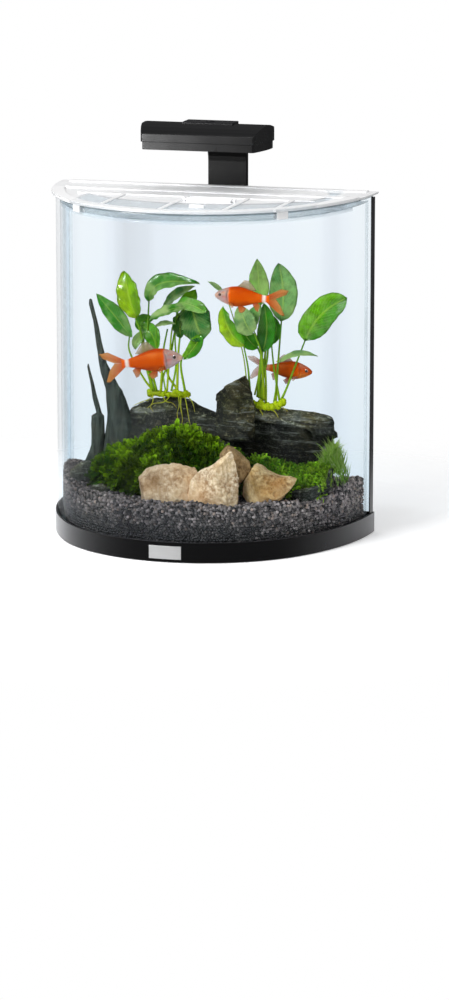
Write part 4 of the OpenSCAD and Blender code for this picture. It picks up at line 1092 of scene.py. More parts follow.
def scatter_fronds(name, V, F, count, g, size, where, colour, slot, lift=0.7):
    tri = V[F]
    fn = np.cross(tri[:, 1] - tri[:, 0], tri[:, 2] - tri[:, 0])
    area = np.linalg.norm(fn, axis=1)
    fn = unit(fn)
    cen = tri.mean(1)
    w = area * where(cen, fn)
    pick = g.choice(len(F), size=count, p=w / w.sum())
    b = g.random((count, 2))
    b = np.where(b.sum(1, keepdims=True) > 1, 1 - b, b)
    P = tri[pick, 0] + b[:, :1] * (tri[pick, 1] - tri[pick, 0]) + b[:, 1:] * (tri[pick, 2] - tri[pick, 0])
    nr = fn[pick]
    d = unit(nr * 0.75 + np.array([0, 0, lift]) + g.normal(size=(count, 3)) * 0.55)
    sidev = unit(np.cross(d, unit(g.normal(size=(count, 3)))))
    upv = np.cross(sidev, d)
    L = size * g.uniform(0.7, 1.35, count)
    temps = [frond_template(g) for _ in range(6)]
    kinds = g.integers(0, 6, count)
    ax = np.stack([d, sidev, upv], 1)
    col = colour(P, g, count)
    bag = Bag()
    for k, (tv, tf, tt) in enumerate(temps):
        sel = np.where(kinds == k)[0]
        bend = tv.copy()
        W = np.einsum("kj,njc->nkc", bend, ax[sel]) * L[sel][:, None, None]
        # tips droop a little
        W[:, :, 2] -= (tt[None, :] ** 2) * (L[sel] * 0.18)[:, None]
        W = W + (P[sel] - d[sel] * 1.2)[:, None, :]
        m = len(sel)
        FF = (tf[None] + (np.arange(m) * len(tv))[:, None, None]).reshape(-1, 3)
        shade = (0.10 + 1.75 * tt ** 1.2)[None, :, None]
        cc = col[sel][:, None, :] * shade
        cc[..., 0] += 0.05 * tt[None, :] * col[sel][:, None, 1]
        bag.add(keep_in(W.reshape(-1, 3)), FF, cc.reshape(-1, 3))
    return bag.done(name, M_MOSS, slot, is_smooth=False)


def spikes(name, V, F, count, g, l0, l1, dark, light):
    """Fine needles standing out of the moss."""
    tri = V[F]
    fn = np.cross(tri[:, 1] - tri[:, 0], tri[:, 2] - tri[:, 0])
    w = np.linalg.norm(fn, axis=1)
    fn = unit(fn)
    cen = tri.mean(1)
    w = w * np.clip(0.25 - 0.8 * fn[:, 1] + 0.8 * fn[:, 2], 0.02, 2) * (cen[:, 2] > 64)
    pick = g.choice(len(F), size=count, p=w / w.sum())
    b = g.random((count, 2))
    b = np.where(b.sum(1, keepdims=True) > 1, 1 - b, b)
    P = tri[pick, 0] + b[:, :1] * (tri[pick, 1] - tri[pick, 0]) + b[:, 1:] * (tri[pick, 2] - tri[pick, 0]) + fn[pick] * 2.0
    d = unit(fn[pick] * 0.6 + np.array([0.12, -0.1, 0.6]) + g.normal(size=(count, 3)) * 0.5)
    side = unit(np.cross(d, g.normal(size=(count, 3)))) * g.uniform(0.35, 0.6, (count, 1))
    ln = g.uniform(l0, l1, (count, 1))
    mid, tip = P + d * ln * 0.55, P + d * ln + side * 1.5
    W = keep_in(np.stack([P - side, P + side, mid + side * 0.8, mid - side * 0.8, tip], 1).reshape(-1, 3))
    k = g.random((count, 1))
    c1 = np.array(dark) * (1 - k) + np.array(light) * k
    c0 = c1 * 0.25
    C = np.stack([c0, c0, (c0 + c1) / 2, (c0 + c1) / 2, c1], 1).reshape(-1, 3)
    FF = (np.array([(0, 1, 2), (0, 2, 3), (3, 2, 4)])[None] + (np.arange(count) * 5)[:, None, None]).reshape(-1, 3)
    bag = Bag()
    bag.add(W, FF, C)
    return bag.done(name, M_MOSS, "moss", is_smooth=False)


def moss():
    g = np.random.default_rng(21)
    V, F, _ = stone("", [(-122, 60), (-125, 82), (-121, 95), (-112, 104), (-84, 117), (-48, 134), (-24, 144), (-9, 140), (5, 130), (26, 126), (52, 116), (70, 108), (78, 94), (76, 60), (0, 56), (-80, 54)],
                    -34, 28, None, "", 5, level=5, planes=4, rough=3.4, box=0.40, V_only=True, centre=(-22, 90))
    # the mound falls towards the front
    w = smooth(30, -34, V[:, 1])
    V[:, 2] = 58 + (V[:, 2] - 58) * (1 - 0.42 * w)
    build("moss_mound_left", V, F, M_MOSS_BED, "moss", cols=np.ones((len(V), 3)), replaces=("moss_left",))

    def col_left(P, g, n):
        base = np.array([0.030, 0.105, 0.004])
        light = np.array([0.42, 0.66, 0.014])
        # painted light: fronds higher on the mound (z 95 to 145 mm) are lighter; painted shade: dark patches, fewer
        # near the top, and fronds below z 84 mm darkened
        k = smooth(-0.25, 0.45, fbm(P, 26.0, 3, 8) + 0.75 * smooth(95, 145, P[:, 2]) - 0.1)
        k = np.clip(k + g.normal(0, 0.22, n), 0, 1)
        c = base + (light - base) * k[:, None]
        dark = smooth(-0.12, 0.42, fbm(P, 12.0, 2, 12)) * (1 - 0.5 * smooth(110, 140, P[:, 2]))
        dark = np.clip(dark + smooth(84, 64, P[:, 2]) * 0.6, 0, 1.0)
        return c * (1 - 0.8 * dark[:, None]) * g.uniform(0.35, 1.65, (n, 1))
    scatter_fronds("moss_fronds_left", V, F, 4200, g, 11.0, lambda c, n: np.clip(0.25 - 0.9 * n[:, 1] + 0.8 * n[:, 2], 0.03, 2) * (c[:, 2] > 60), col_left, "moss")
    spikes("moss_needles_left", V, F, 2600, np.random.default_rng(33), 7.0, 13.0, (0.10, 0.26, 0.008), (0.66, 0.88, 0.05))
    V, F, _ = stone("", [(46, 60), (48, 108), (60, 111), (76, 104), (92, 97), (111, 91), (129, 85), (146, 89), (154, 97), (162, 105), (168, 107), (171, 98), (168, 84), (154, 60)],
                    -4, 44, None, "", 6, level=3, planes=3, rough=2.2, box=0.45, V_only=True, centre=(120, 86))
    w = smooth(44, -4, V[:, 1])
    V[:, 2] = 58 + (V[:, 2] - 58) * (1 - 0.38 * w)
    build("moss_mound_right", V, F, M_MOSS_BED, "moss", cols=np.ones((len(V), 3)), replaces=("moss_right",))

    def col_right(P, g, n):
        base = np.array([0.08, 0.24, 0.012])
        light = np.array([0.46, 0.74, 0.04])
        k = np.clip(smooth(-0.2, 0.4, fbm(P, 22.0, 3, 18)) + smooth(115, 160, P[:, 0]) * 0.8 + g.normal(0, 0.2, n), 0, 1)
        c = base + (light - base) * k[:, None]
        # painted shade: dark patches of fronds
        dark = np.clip(smooth(0.1, 0.6, fbm(P, 15.0, 2, 22)), 0, 0.8)
        return c * (1 - 0.65 * dark[:, None]) * g.uniform(0.35, 1.55, (n, 1))
    scatter_fronds("moss_fronds_right", V, F, 2300, g, 9.0, lambda c, n: np.clip(0.25 - 0.9 * n[:, 1] + 0.8 * n[:, 2], 0.03, 2) * (c[:, 2] > 60), col_right, "moss")
    spikes("moss_needles_right", V, F, 1300, np.random.default_rng(34), 6.0, 11.0, (0.14, 0.36, 0.012), (0.80, 0.95, 0.10))
    # fine upright grass at the right end
    bag = Bag()
    n = 1100
    bx = np.clip(g.normal(166, 8, n), 148, 181)
    by = g.uniform(24, 62, n)
    bz = 76 + 32 * np.exp(-((bx - 166) / 11) ** 2) + g.uniform(-10, 6, n)
    ln = g.uniform(13, 25, n)
    lean = g.normal(0.15, 0.35, n)
    leany = g.normal(-0.35, 0.25, n)
    for i in range(n):
        p = np.array([bx[i], by[i], bz[i]])
        d = unit(np.array([lean[i], leany[i], 1.0]))
        s = unit(np.cross(d, [g.normal(), g.normal(), 0.1])) * 0.50
        mid = p + d * ln[i] * 0.55
        tip = p + d * ln[i] + np.array([lean[i] * 5, leany[i] * 4, -1.0])
        k = g.uniform(0, 1)
        c0 = np.array([0.24, 0.50, 0.03])
        c1 = np.array([0.62, 0.98, 0.08]) * (1 - k) + np.array([1.0, 1.0, 0.46]) * k
        bag.add(keep_in([p - s, p + s, mid + s * 0.8, mid - s * 0.8, tip]), [(0, 1, 2), (0, 2, 3), (3, 2, 4)], np.array([c0, c0, (c0 + c1) / 2, (c0 + c1) / 2, c1]))
    bag.done("moss_grass_right", M_MOSS, "moss", is_smooth=False)


# ------------------------------------------------------------------ plants
LEAF_U = np.array([0.0, 0.08, 0.18, 0.32, 0.5, 0.68, 0.84, 0.94, 1.0])
LEAF_W = {"oval": np.array([0.0, 0.50, 0.78, 0.97, 1.0, 0.88, 0.60, 0.30, 0.0]),
          "point": np.array([0.0, 0.40, 0.70, 0.93, 1.0, 0.84, 0.50, 0.22, 0.0]),
          "round": np.array([0.0, 0.62, 0.88, 1.0, 1.0, 0.94, 0.76, 0.48, 0.0])}


def bez(b, m, e, t):
    """A smooth curve through b, m (at the middle) and e."""
    b, m, e = (np.asarray(v, float) for v in (b, m, e))
    c = 2 * m - (b + e) / 2
    t = np.asarray(t)[:, None]
    return b * (1 - t) ** 2 + 2 * c * t * (1 - t) + e * t ** 2


def leaf(bag, b, m, e, width, face, kind, col, col2=None, painted_sheen=0.0, cup=0.16, wave=0.03, seed=0, curl=0.0, nu=26, nv=12):
    """face: direction the upper side looks to. Closed thin blade, 0.5 mm thick."""
    u = np.linspace(0, 1, nu)
    v = np.linspace(-1, 1, nv)
    C = bez(b, m, e, u)
    T = unit(np.gradient(C, axis=0))
    f = unit(np.asarray(face, float))
    S = unit(np.cross(T, f))
    Nn = unit(np.cross(S, T))
    w = width / 2 * np.interp(u, LEAF_U, LEAF_W[kind])
    rs = np.random.default_rng(seed)
    ph = rs.uniform(0, 6.28, 4)
    U, Vv = np.meshgrid(u, v, indexing="ij")
    ww = w[:, None] * (1 + 0.05 * np.sin(9 * U + ph[0]) * np.sign(Vv))
    off = cup * width * (Vv ** 2) * 0.5 - 0.02 * width * (1 - np.exp(-(Vv / 0.12) ** 2)) * -1
    off = off + wave * width * np.sin(U * 21 + ph[1] + Vv * 1.5) * np.abs(Vv) ** 2 + wave * width * 0.7 * np.sin(U * 35 + ph[2]) * np.abs(Vv) ** 3
    off = off + curl * width * Vv * U
    P = C[:, None, :] + S[:, None, :] * (ww * Vv)[..., None] + Nn[:, None, :] * off[..., None]
    P = P.reshape(-1, 3)
    idx = np.arange(nu * nv).reshape(nu, nv)
    q = np.stack([idx[:-1, :-1], idx[1:, :-1], idx[1:, 1:], idx[:-1, 1:]], -1).reshape(-1, 4)
    c1 = np.array(col)
    c2 = np.array(col2 if col2 is not None else col)
    mixv = smooth(-0.35, 0.35, Vv * 0.8 + 0.4 * (U - 0.5) + 0.15 * np.sin(U * 7 + ph[3])).reshape(-1)
    cc = c1 + (c2 - c1) * mixv[:, None]
    cc = np.column_stack([cc, np.full(len(cc), painted_sheen)])
    uv = np.column_stack([U.reshape(-1), Vv.reshape(-1)])
    nn = np.repeat(Nn, nv, axis=0)
    th = 0.22
    # upper and lower skins joined round the edge
    top, bot = P + nn * th, P - nn * th
    edge = (np.abs(Vv) > 0.999).reshape(-1) | (U < 1e-6).reshape(-1) | (U > 1 - 1e-6).reshape(-1)
    bot_idx = np.arange(len(P)) + len(P)
    bot_idx[edge] = np.arange(len(P))[edge]
    allv = np.vstack([top, bot])
    allv[np.where(edge)[0]] = P[edge]
    q2 = bot_idx[q][:, ::-1]
    bag.add(allv, np.vstack([q, q2]), np.vstack([cc, cc]), np.vstack([uv, uv]))


def tube(bag, pts, r0, r1, c0, c1, segs=8, n=18, lumps=0.0, seed=0):
    pts = np.asarray(pts, float)
    # Catmull-Rom through the points
    P = np.vstack([2 * pts[0] - pts[1], pts, 2 * pts[-1] - pts[-2]])
    ts = np.linspace(0, len(pts) - 1 - 1e-6, n)
    k = ts.astype(int)
    f = (ts - k)[:, None]
    a, b, c, d = P[k], P[k + 1], P[k + 2], P[k + 3]
    C = 0.5 * (2 * b + (c - a) * f + (2 * a - 5 * b + 4 * c - d) * f ** 2 + (-a + 3 * b - 3 * c + d) * f ** 3)
    T = unit(np.gradient(C, axis=0))
    ref = np.array([0.3, 0.9, 0.1]) if abs(T[0][1]) < 0.8 else np.array([1.0, 0.1, 0.2])
    S = unit(np.cross(T, ref))
    B = np.cross(T, S)
    s = np.linspace(0, 1, n)
    r = r0 + (r1 - r0) * s
    ang = np.linspace(0, 2 * math.pi, segs, endpoint=False)
    V = C[:, None] + (S[:, None] * np.cos(ang)[None, :, None] + B[:, None] * np.sin(ang)[None, :, None]) * r[:, None, None]
    V = V.reshape(-1, 3)
    if lumps:
        nr = unit(V - np.repeat(C, segs, axis=0))
        V = V + nr * (lumps * fbm(V, 5.0, 3, seed))[:, None]
    idx = np.arange(n * segs).reshape(n, segs)
    q = np.stack([idx[:-1], np.roll(idx[:-1], -1, 1), np.roll(idx[1:], -1, 1), idx[1:]], -1).reshape(-1, 4)
    t3 = np.vstack([q[:, [0, 1, 2]], q[:, [0, 2, 3]]])
    caps = [(0 * segs + (j + 1) % segs, j, len(V)) for j in range(segs)] + [((n - 1) * segs + j, (n - 1) * segs + (j + 1) % segs, len(V) + 1) for j in range(segs)]
    V = np.vstack([V, C[:1], C[-1:]])
    c0, c1 = np.array(c0), np.array(c1)
    cc = np.repeat(c0 + (c1 - c0) * s[:, None], segs, axis=0)
    cc = np.vstack([cc, [c0], [c1]])
    bag.add(V, np.vstack([t3, caps]), cc)


G_DARK, G_MID, G_LIGHT, G_YEL = srgb("1d6b26"), srgb("3f962a"), srgb("7cb856"), srgb("96c818")
G_STEM, Y_STEM = srgb("6fae3a"), srgb("c3d83a")


def plants():
    # left plant: base, middle, tip (mm), width, facing, kind, colours
    B = Bag()
    leaf(B, (-85.5, 30, 245), (-107, 27, 272), (-129.5, 24, 298.5), 23, (0.3, -0.9, 0.5), "point", srgb("2f9632"), srgb("5cb05c"), 0.55, cup=0.10, seed=1)
    leaf(B, (-80, 34, 269), (-90, 31, 298), (-96, 36, 326), 32, (-0.25, -1.0, 0.15), "oval", srgb("b2dc0e"), srgb("8fce14"), 0.0, cup=0.12, seed=2)
    leaf(B, (-66.6, 40, 289.5), (-47, 30, 314), (3, 24, 315.5), 25, (0.2, -0.75, 0.65), "point", srgb("2f8f34"), srgb("6fae62"), 0.6, cup=0.22, seed=3)
    leaf(B, (-48.5, 46, 283), (-31, 40, 299), (-6, 36, 311), 15, (-0.5, -0.9, 0.4), "point", srgb("5c9a72"), srgb("9cbfa8"), 0.85, cup=0.2, seed=4)
    leaf(B, (-33, 58, 282), (-20, 56, 291), (-10, 52, 305), 19, (0.1, -1.0, 0.1), "oval", srgb("86c81e"), srgb("79bb20"), 0.0, seed=5)
    leaf(B, (-15, 26, 286.5), (-38, 18, 282), (-60, 18, 269), 16, (-0.2, -0.75, 0.7), "oval", srgb("2f9428"), srgb("3f9f3a"), 1.0, cup=0.14, wave=0.06, seed=6)
    leaf(B, (-28, 34, 290), (-8, 26, 289.5), (12, 22, 281), 18, (0.1, -0.8, 0.6), "round", srgb("63b84a"), srgb("86cc72"), 0.7, cup=0.14, seed=7)
    leaf(B, (-14, 46, 288), (-6, 38, 266), (3, 40, 245), 38, (0.25, -1.0, 0.15), "round", srgb("3f8f5c"), srgb("2c7848"), 0.35, cup=0.10, wave=0.06, seed=8, curl=0.06)
    leaf(B, (-20, 44, 277), (-26, 39, 262), (-25, 40, 246), 21, (-0.2, -1.0, 0.15), "oval", srgb("0f5a1c"), srgb("176a22"), 0.10, cup=0.16, wave=0.05, seed=15)
    leaf(B, (0, 38, 252), (-7, 33, 236), (-20.5, 34, 221), 17, (0.2, -1.0, -0.05), "oval", srgb("35a01e"), srgb("7cc42c"), 0.1, cup=0.18, seed=9)
    leaf(B, (-77, 44, 257), (-63, 39, 249), (-56, 38, 227.5), 22, (-0.2, -1.0, 0.3), "oval", srgb("5ab81c"), srgb("46a01e"), 0.1, cup=0.14, seed=10)
    leaf(B, (-55, 28, 260), (-42, 22, 265.5), (-26.7, 20, 266), 8.5, (0.0, -0.7, 0.7), "point", srgb("8ab486"), srgb("b4d0b0"), 0.9, cup=0.25, seed=11)
    leaf(B, (-72, 40, 250), (-80, 34, 242), (-82, 32, 230), 12, (0.4, -0.9, 0.2), "oval", srgb("6eb05a"), srgb("a4cf9a"), 0.6, cup=0.3, seed=12)
    leaf(B, (-80, 54, 250), (-78, 50, 262), (-62, 50, 266), 17, (0.0, -1.0, 0.3), "oval", srgb("62b634"), srgb("4ea02c"), 0.0, seed=13)
    B.done("anubias_left_leaves", M_LEAF, "leaf_dark", replaces=("anubias_left",))
    S = Bag()
    st = [((-66.6, 40, 289.5), (-68.1, 40, 257), (-68, 40, 222), (-58, 42, 178), 1.0), ((-88.8, 30, 247), (-90, 35, 226), (-73, 40, 192), (-62, 43, 178), 0.9),
          ((-82, 34, 268), (-76, 36, 250), (-71, 38, 215), (-62, 42, 178), 1.2), ((-43.6, 42, 255.5), (-48.7, 42, 229.7), (-51, 42, 200), (-52.3, 42, 178), 1.0),
          ((-36, 46, 250), (-40.7, 46, 222.7), (-50, 44, 195), (-53.5, 45, 178), 0.9), ((-16, 36, 286), (-36, 42, 262), (-42, 44, 215), (-45, 44, 178), 0.8),
          ((-28, 34, 290), (-34, 42, 250), (-34, 46, 210), (-40, 46, 178), 0.8), ((-24, 44, 276), (-29, 44, 240), (-31, 44, 214), (-32, 44, 178), 1.0),
          ((0, 38, 252), (-16, 44, 235), (-27.7, 46, 214), (-22.5, 46, 178), 0.9), ((-34, 58, 281), (-40, 54, 240), (-46, 48, 202), (-32, 47, 179), 0.9),
          ((-53.5, 28, 258.8), (-56, 36, 235), (-50, 42, 200), (-47, 44, 178), 0.6), ((-76, 44, 255), (-74, 44, 225), (-68, 44, 200), (-64, 44, 178), 1.4)]
    for i, s in enumerate(st):
        tube(S, s[:4], s[4] * 0.95, s[4] * 1.75, G_STEM if i % 3 else srgb("4d8f3f"), Y_STEM if i % 2 else srgb("9cc62c"), n=22)
    # rootstock and its knobs
    tube(S, [(-70, 45, 173), (-60, 45, 175), (-48, 45, 173.5), (-35, 45, 174.5), (-25, 45, 173.5), (-16, 45, 175)], 3.6, 3.0, srgb("a9b81e"), srgb("c6cf2c"), segs=14, n=48, lumps=2.0, seed=3)
    g = np.random.default_rng(5)
    ico_v, ico_f = ICO[2]
    for x in np.linspace(-68, -17, 15):
        r = g.uniform(2.0, 3.4)
        c = np.array([x, 44 + g.uniform(-2, 2), 175 + g.uniform(-1.5, 3)])
        V = ico_v * r * (1 + 0.15 * g.uniform(-1, 1, (len(ico_v), 1))) * [1, 1, 1.25] + c
        S.add(V, ico_f, np.array(srgb("b9cf1c")) * g.uniform(0.8, 1.2))
    roots = [((-27, 43, 174), (-25, 36, 160), (-22, 33, 146), (-24, 32, 132)), ((-22, 43, 174), (-17, 36, 160), (-14, 33, 148), (-11, 32, 136)), ((-30, 43, 173), (-27, 36, 162), (-29, 34, 152), (-26, 32, 140)),
             ((-60, 43, 173), (-66, 36, 168), (-76, 33, 164), (-84, 31, 160)), ((-50, 43, 173), (-44, 34, 167), (-34, 30, 166), (-28, 29, 160)), ((-40, 43, 173), (-46, 34, 166), (-58, 30, 164), (-66, 28, 158)),
             ((-64, 43, 174), (-60, 34, 167), (-62, 30, 160), (-58, 29, 154)), ((-20, 43, 174), (-12, 36, 170), (-8, 33, 164), (-6, 32, 156))]
    for i, r in enumerate(roots):
        tube(S, r, 0.75, 0.35, srgb("cdd34a"), srgb("c9b878") if i % 2 else srgb("b59a50"), segs=6, n=16, lumps=0.25, seed=i)
    S.done("anubias_left_stems", M_STEM, "leaf_dark")

    # right plant
    B = Bag()
    leaf(B, (68, 66, 286), (67, 62, 315), (63.4, 66, 343.5), 24.5, (0.3, -1.0, 0.2), "point", srgb("9cdc7c"), srgb("b6e69a"), 0.55, cup=0.14, seed=21)
    leaf(B, (92.6, 72, 267.5), (96.5, 67, 303), (89.5, 71, 338.5), 36, (0.15, -1.0, 0.15), "oval", srgb("74b884"), srgb("94cc9c"), 0.50, cup=0.10, seed=22)
    leaf(B, (55, 42, 240), (37, 36, 259), (28.8, 38, 288), 22, (-0.15, -1.0, 0.25), "oval", srgb("b8de2a"), srgb("5cb81e"), 0.12, cup=0.18, wave=0.07, seed=23)
    leaf(B, (66.5, 34, 256), (59, 28, 272), (52, 30, 291), 27, (0.1, -0.95, 0.35), "oval", srgb("74aa82"), srgb("8cba96"), 0.9, cup=0.1, wave=0.04, seed=24)
    leaf(B, (74.2, 54, 232.4), (81, 48, 260), (76.5, 50, 292), 23, (0.35, -1.0, 0.1), "oval", srgb("177020"), srgb("2f9a26"), 0.15, cup=0.2, seed=25)
    leaf(B, (66, 60, 234.4), (54, 55, 248), (45, 56, 266), 22, (-0.2, -1.0, 0.2), "oval", srgb("4fb41c"), srgb("3c9c1e"), 0.0, cup=0.15, seed=26)
    leaf(B, (126.2, 62, 246.5), (147, 57, 279), (179, 60, 301.5), 36, (0.2, -1.0, 0.25), "round", srgb("7ed026"), srgb("46a82c"), 0.25, cup=0.12, seed=27)
    leaf(B, (96.2, 44, 218.2), (120.9, 36, 233), (148, 38, 231), 10.5, (-0.1, -0.65, 0.75), "point", srgb("86b892"), srgb("a8cfac"), 0.7, cup=0.2, seed=28)
    leaf(B, (28.5, 38, 304), (21, 34, 312.5), (9.5, 36, 317.5), 6.5, (0.2, -0.8, 0.6), "point", srgb("8fb99c"), srgb("b0d0b8"), 0.6, cup=0.2, seed=29)
    leaf(B, (80, 62, 240), (90, 58, 256), (86, 58, 276), 14, (0.0, -1.0, 0.1), "oval", srgb("2f942c"), srgb("45a830"), 0.1, seed=30)
    leaf(B, (60, 50, 262), (66, 44, 276), (74, 46, 292), 17, (0.0, -1.0, 0.3), "oval", srgb("4fa56a"), srgb("62b670"), 0.5, seed=31)
    B.done("anubias_right_leaves", M_LEAF, "leaf_light", replaces=("anubias_right",))
    S = Bag()
    st = [((53.8, 42, 238), (57.5, 46, 214), (56.5, 56, 195), (55, 66, 176), 0.9), ((68.4, 36, 256), (75.3, 42, 232.7), (74, 56, 200), (72, 68, 168), 1.0), ((74, 54, 232.4), (71, 58, 210), (67, 64, 190), (64, 69, 172), 1.3),
          ((66, 60, 235), (74, 62, 214), (75, 66, 190), (73.8, 70, 164), 1.0), ((81, 66, 250), (84.6, 67, 212), (88, 68, 190), (91.5, 70, 168), 0.9), ((93, 72, 267.4), (89.7, 72, 224.6), (88, 71, 200), (86.4, 70, 168), 1.0),
          ((126, 62, 247), (111.2, 64, 209.3), (100, 67, 182), (92, 69, 166), 1.0), ((70, 66, 284), (75, 66, 250), (72, 68, 210), (66, 69, 170), 1.0), ((96.2, 44, 218), (92, 56, 205), (88, 66, 185), (84, 70, 166), 0.6),
          ((28, 38, 305), (34, 44, 290), (48, 56, 230), (52, 66, 178), 0.5), ((79, 62, 242), (77, 64, 220), (71, 67, 195), (69, 69, 168), 1.2), ((62, 50, 262), (70, 58, 235), (66, 66, 200), (60, 69, 174), 0.7)]
    for i, s in enumerate(st):
        tube(S, s[:4], s[4] * 0.95, s[4] * 1.75, G_STEM if i % 3 else srgb("5f9f45"), Y_STEM if i % 2 else srgb("a6cf34"), n=22)
    tube(S, [(47, 61, 178), (52, 61, 171), (58, 61, 166), (67, 61, 163), (80, 61, 160.5), (91, 61, 163), (98, 61, 166)], 3.9, 3.5, srgb("b6c81e"), srgb("d0dc2c"), segs=14, n=54, lumps=2.0, seed=8)
    for i in range(17):
        k = i / 16
        x = 46 + 53 * k
        zc = np.interp(x, [47, 52, 58, 67, 80, 91, 98], [178, 171, 166, 163, 160.5, 163, 166])
        r = g.uniform(2.3, 4.0)
        c = np.array([x, 60 + g.uniform(-2, 2), zc + g.uniform(-1.0, 3.5)])
        V = ico_v * r * (1 + 0.15 * g.uniform(-1, 1, (len(ico_v), 1))) * [1, 1, 1.3] + c
        S.add(V, ico_f, np.array(srgb("c8dc1e")) * g.uniform(0.8, 1.2))
    roots = [((46, 68, 174), (42, 60, 168), (44, 57, 160), (40, 56, 152)), ((60, 68, 166), (56, 60, 162), (60, 57, 155), (56, 56, 150)), ((74, 68, 160), (70, 58, 158), (74, 56, 152), (70, 55, 147)),
             ((86, 68, 162), (84, 58, 160), (90, 56, 156), (94, 55, 150)), ((90, 68, 164), (96, 60, 164), (100, 57, 162), (106, 56, 158))]
    for i, r in enumerate(roots):
        tube(S, r, 0.8, 0.35, srgb("d6dc3a"), srgb("c2b060"), segs=6, n=16, lumps=0.25, seed=i + 9)
    S.done("anubias_right_stems", M_STEM, "leaf_light")


# ------------------------------------------------------------------ fish
TOP = [(0, 1.7), (-1.5, 3.6), (-5, 6.3), (-10, 8.9), (-16, 11.2), (-22, 12.9), (-28, 13.6), (-34, 13.3), (-42, 11.6), (-50, 9.2), (-58, 6.6), (-65, 4.9), (-70, 4.4), (-74, 4.9)]
BOT = [(0, -1.3), (-1.5, -2.8), (-5, -5.2), (-10, -7.9), (-16, -10.3), (-22, -12.0), (-28, -13.0), (-34, -12.8), (-42, -11.2), (-50, -8.8), (-58, -6.4), (-65, -4.9), (-70, -4.4), (-74, -4.9)]
HALF = [(0, 1.6), (-1.5, 2.6), (-5, 4.0), (-10, 5.3), (-16, 6.3), (-22, 7.1), (-28, 7.3), (-34, 6.9), (-42, 5.7), (-50, 4.3), (-58, 3.0), (-65, 1.9), (-70, 1.2), (-74, 0.6)]


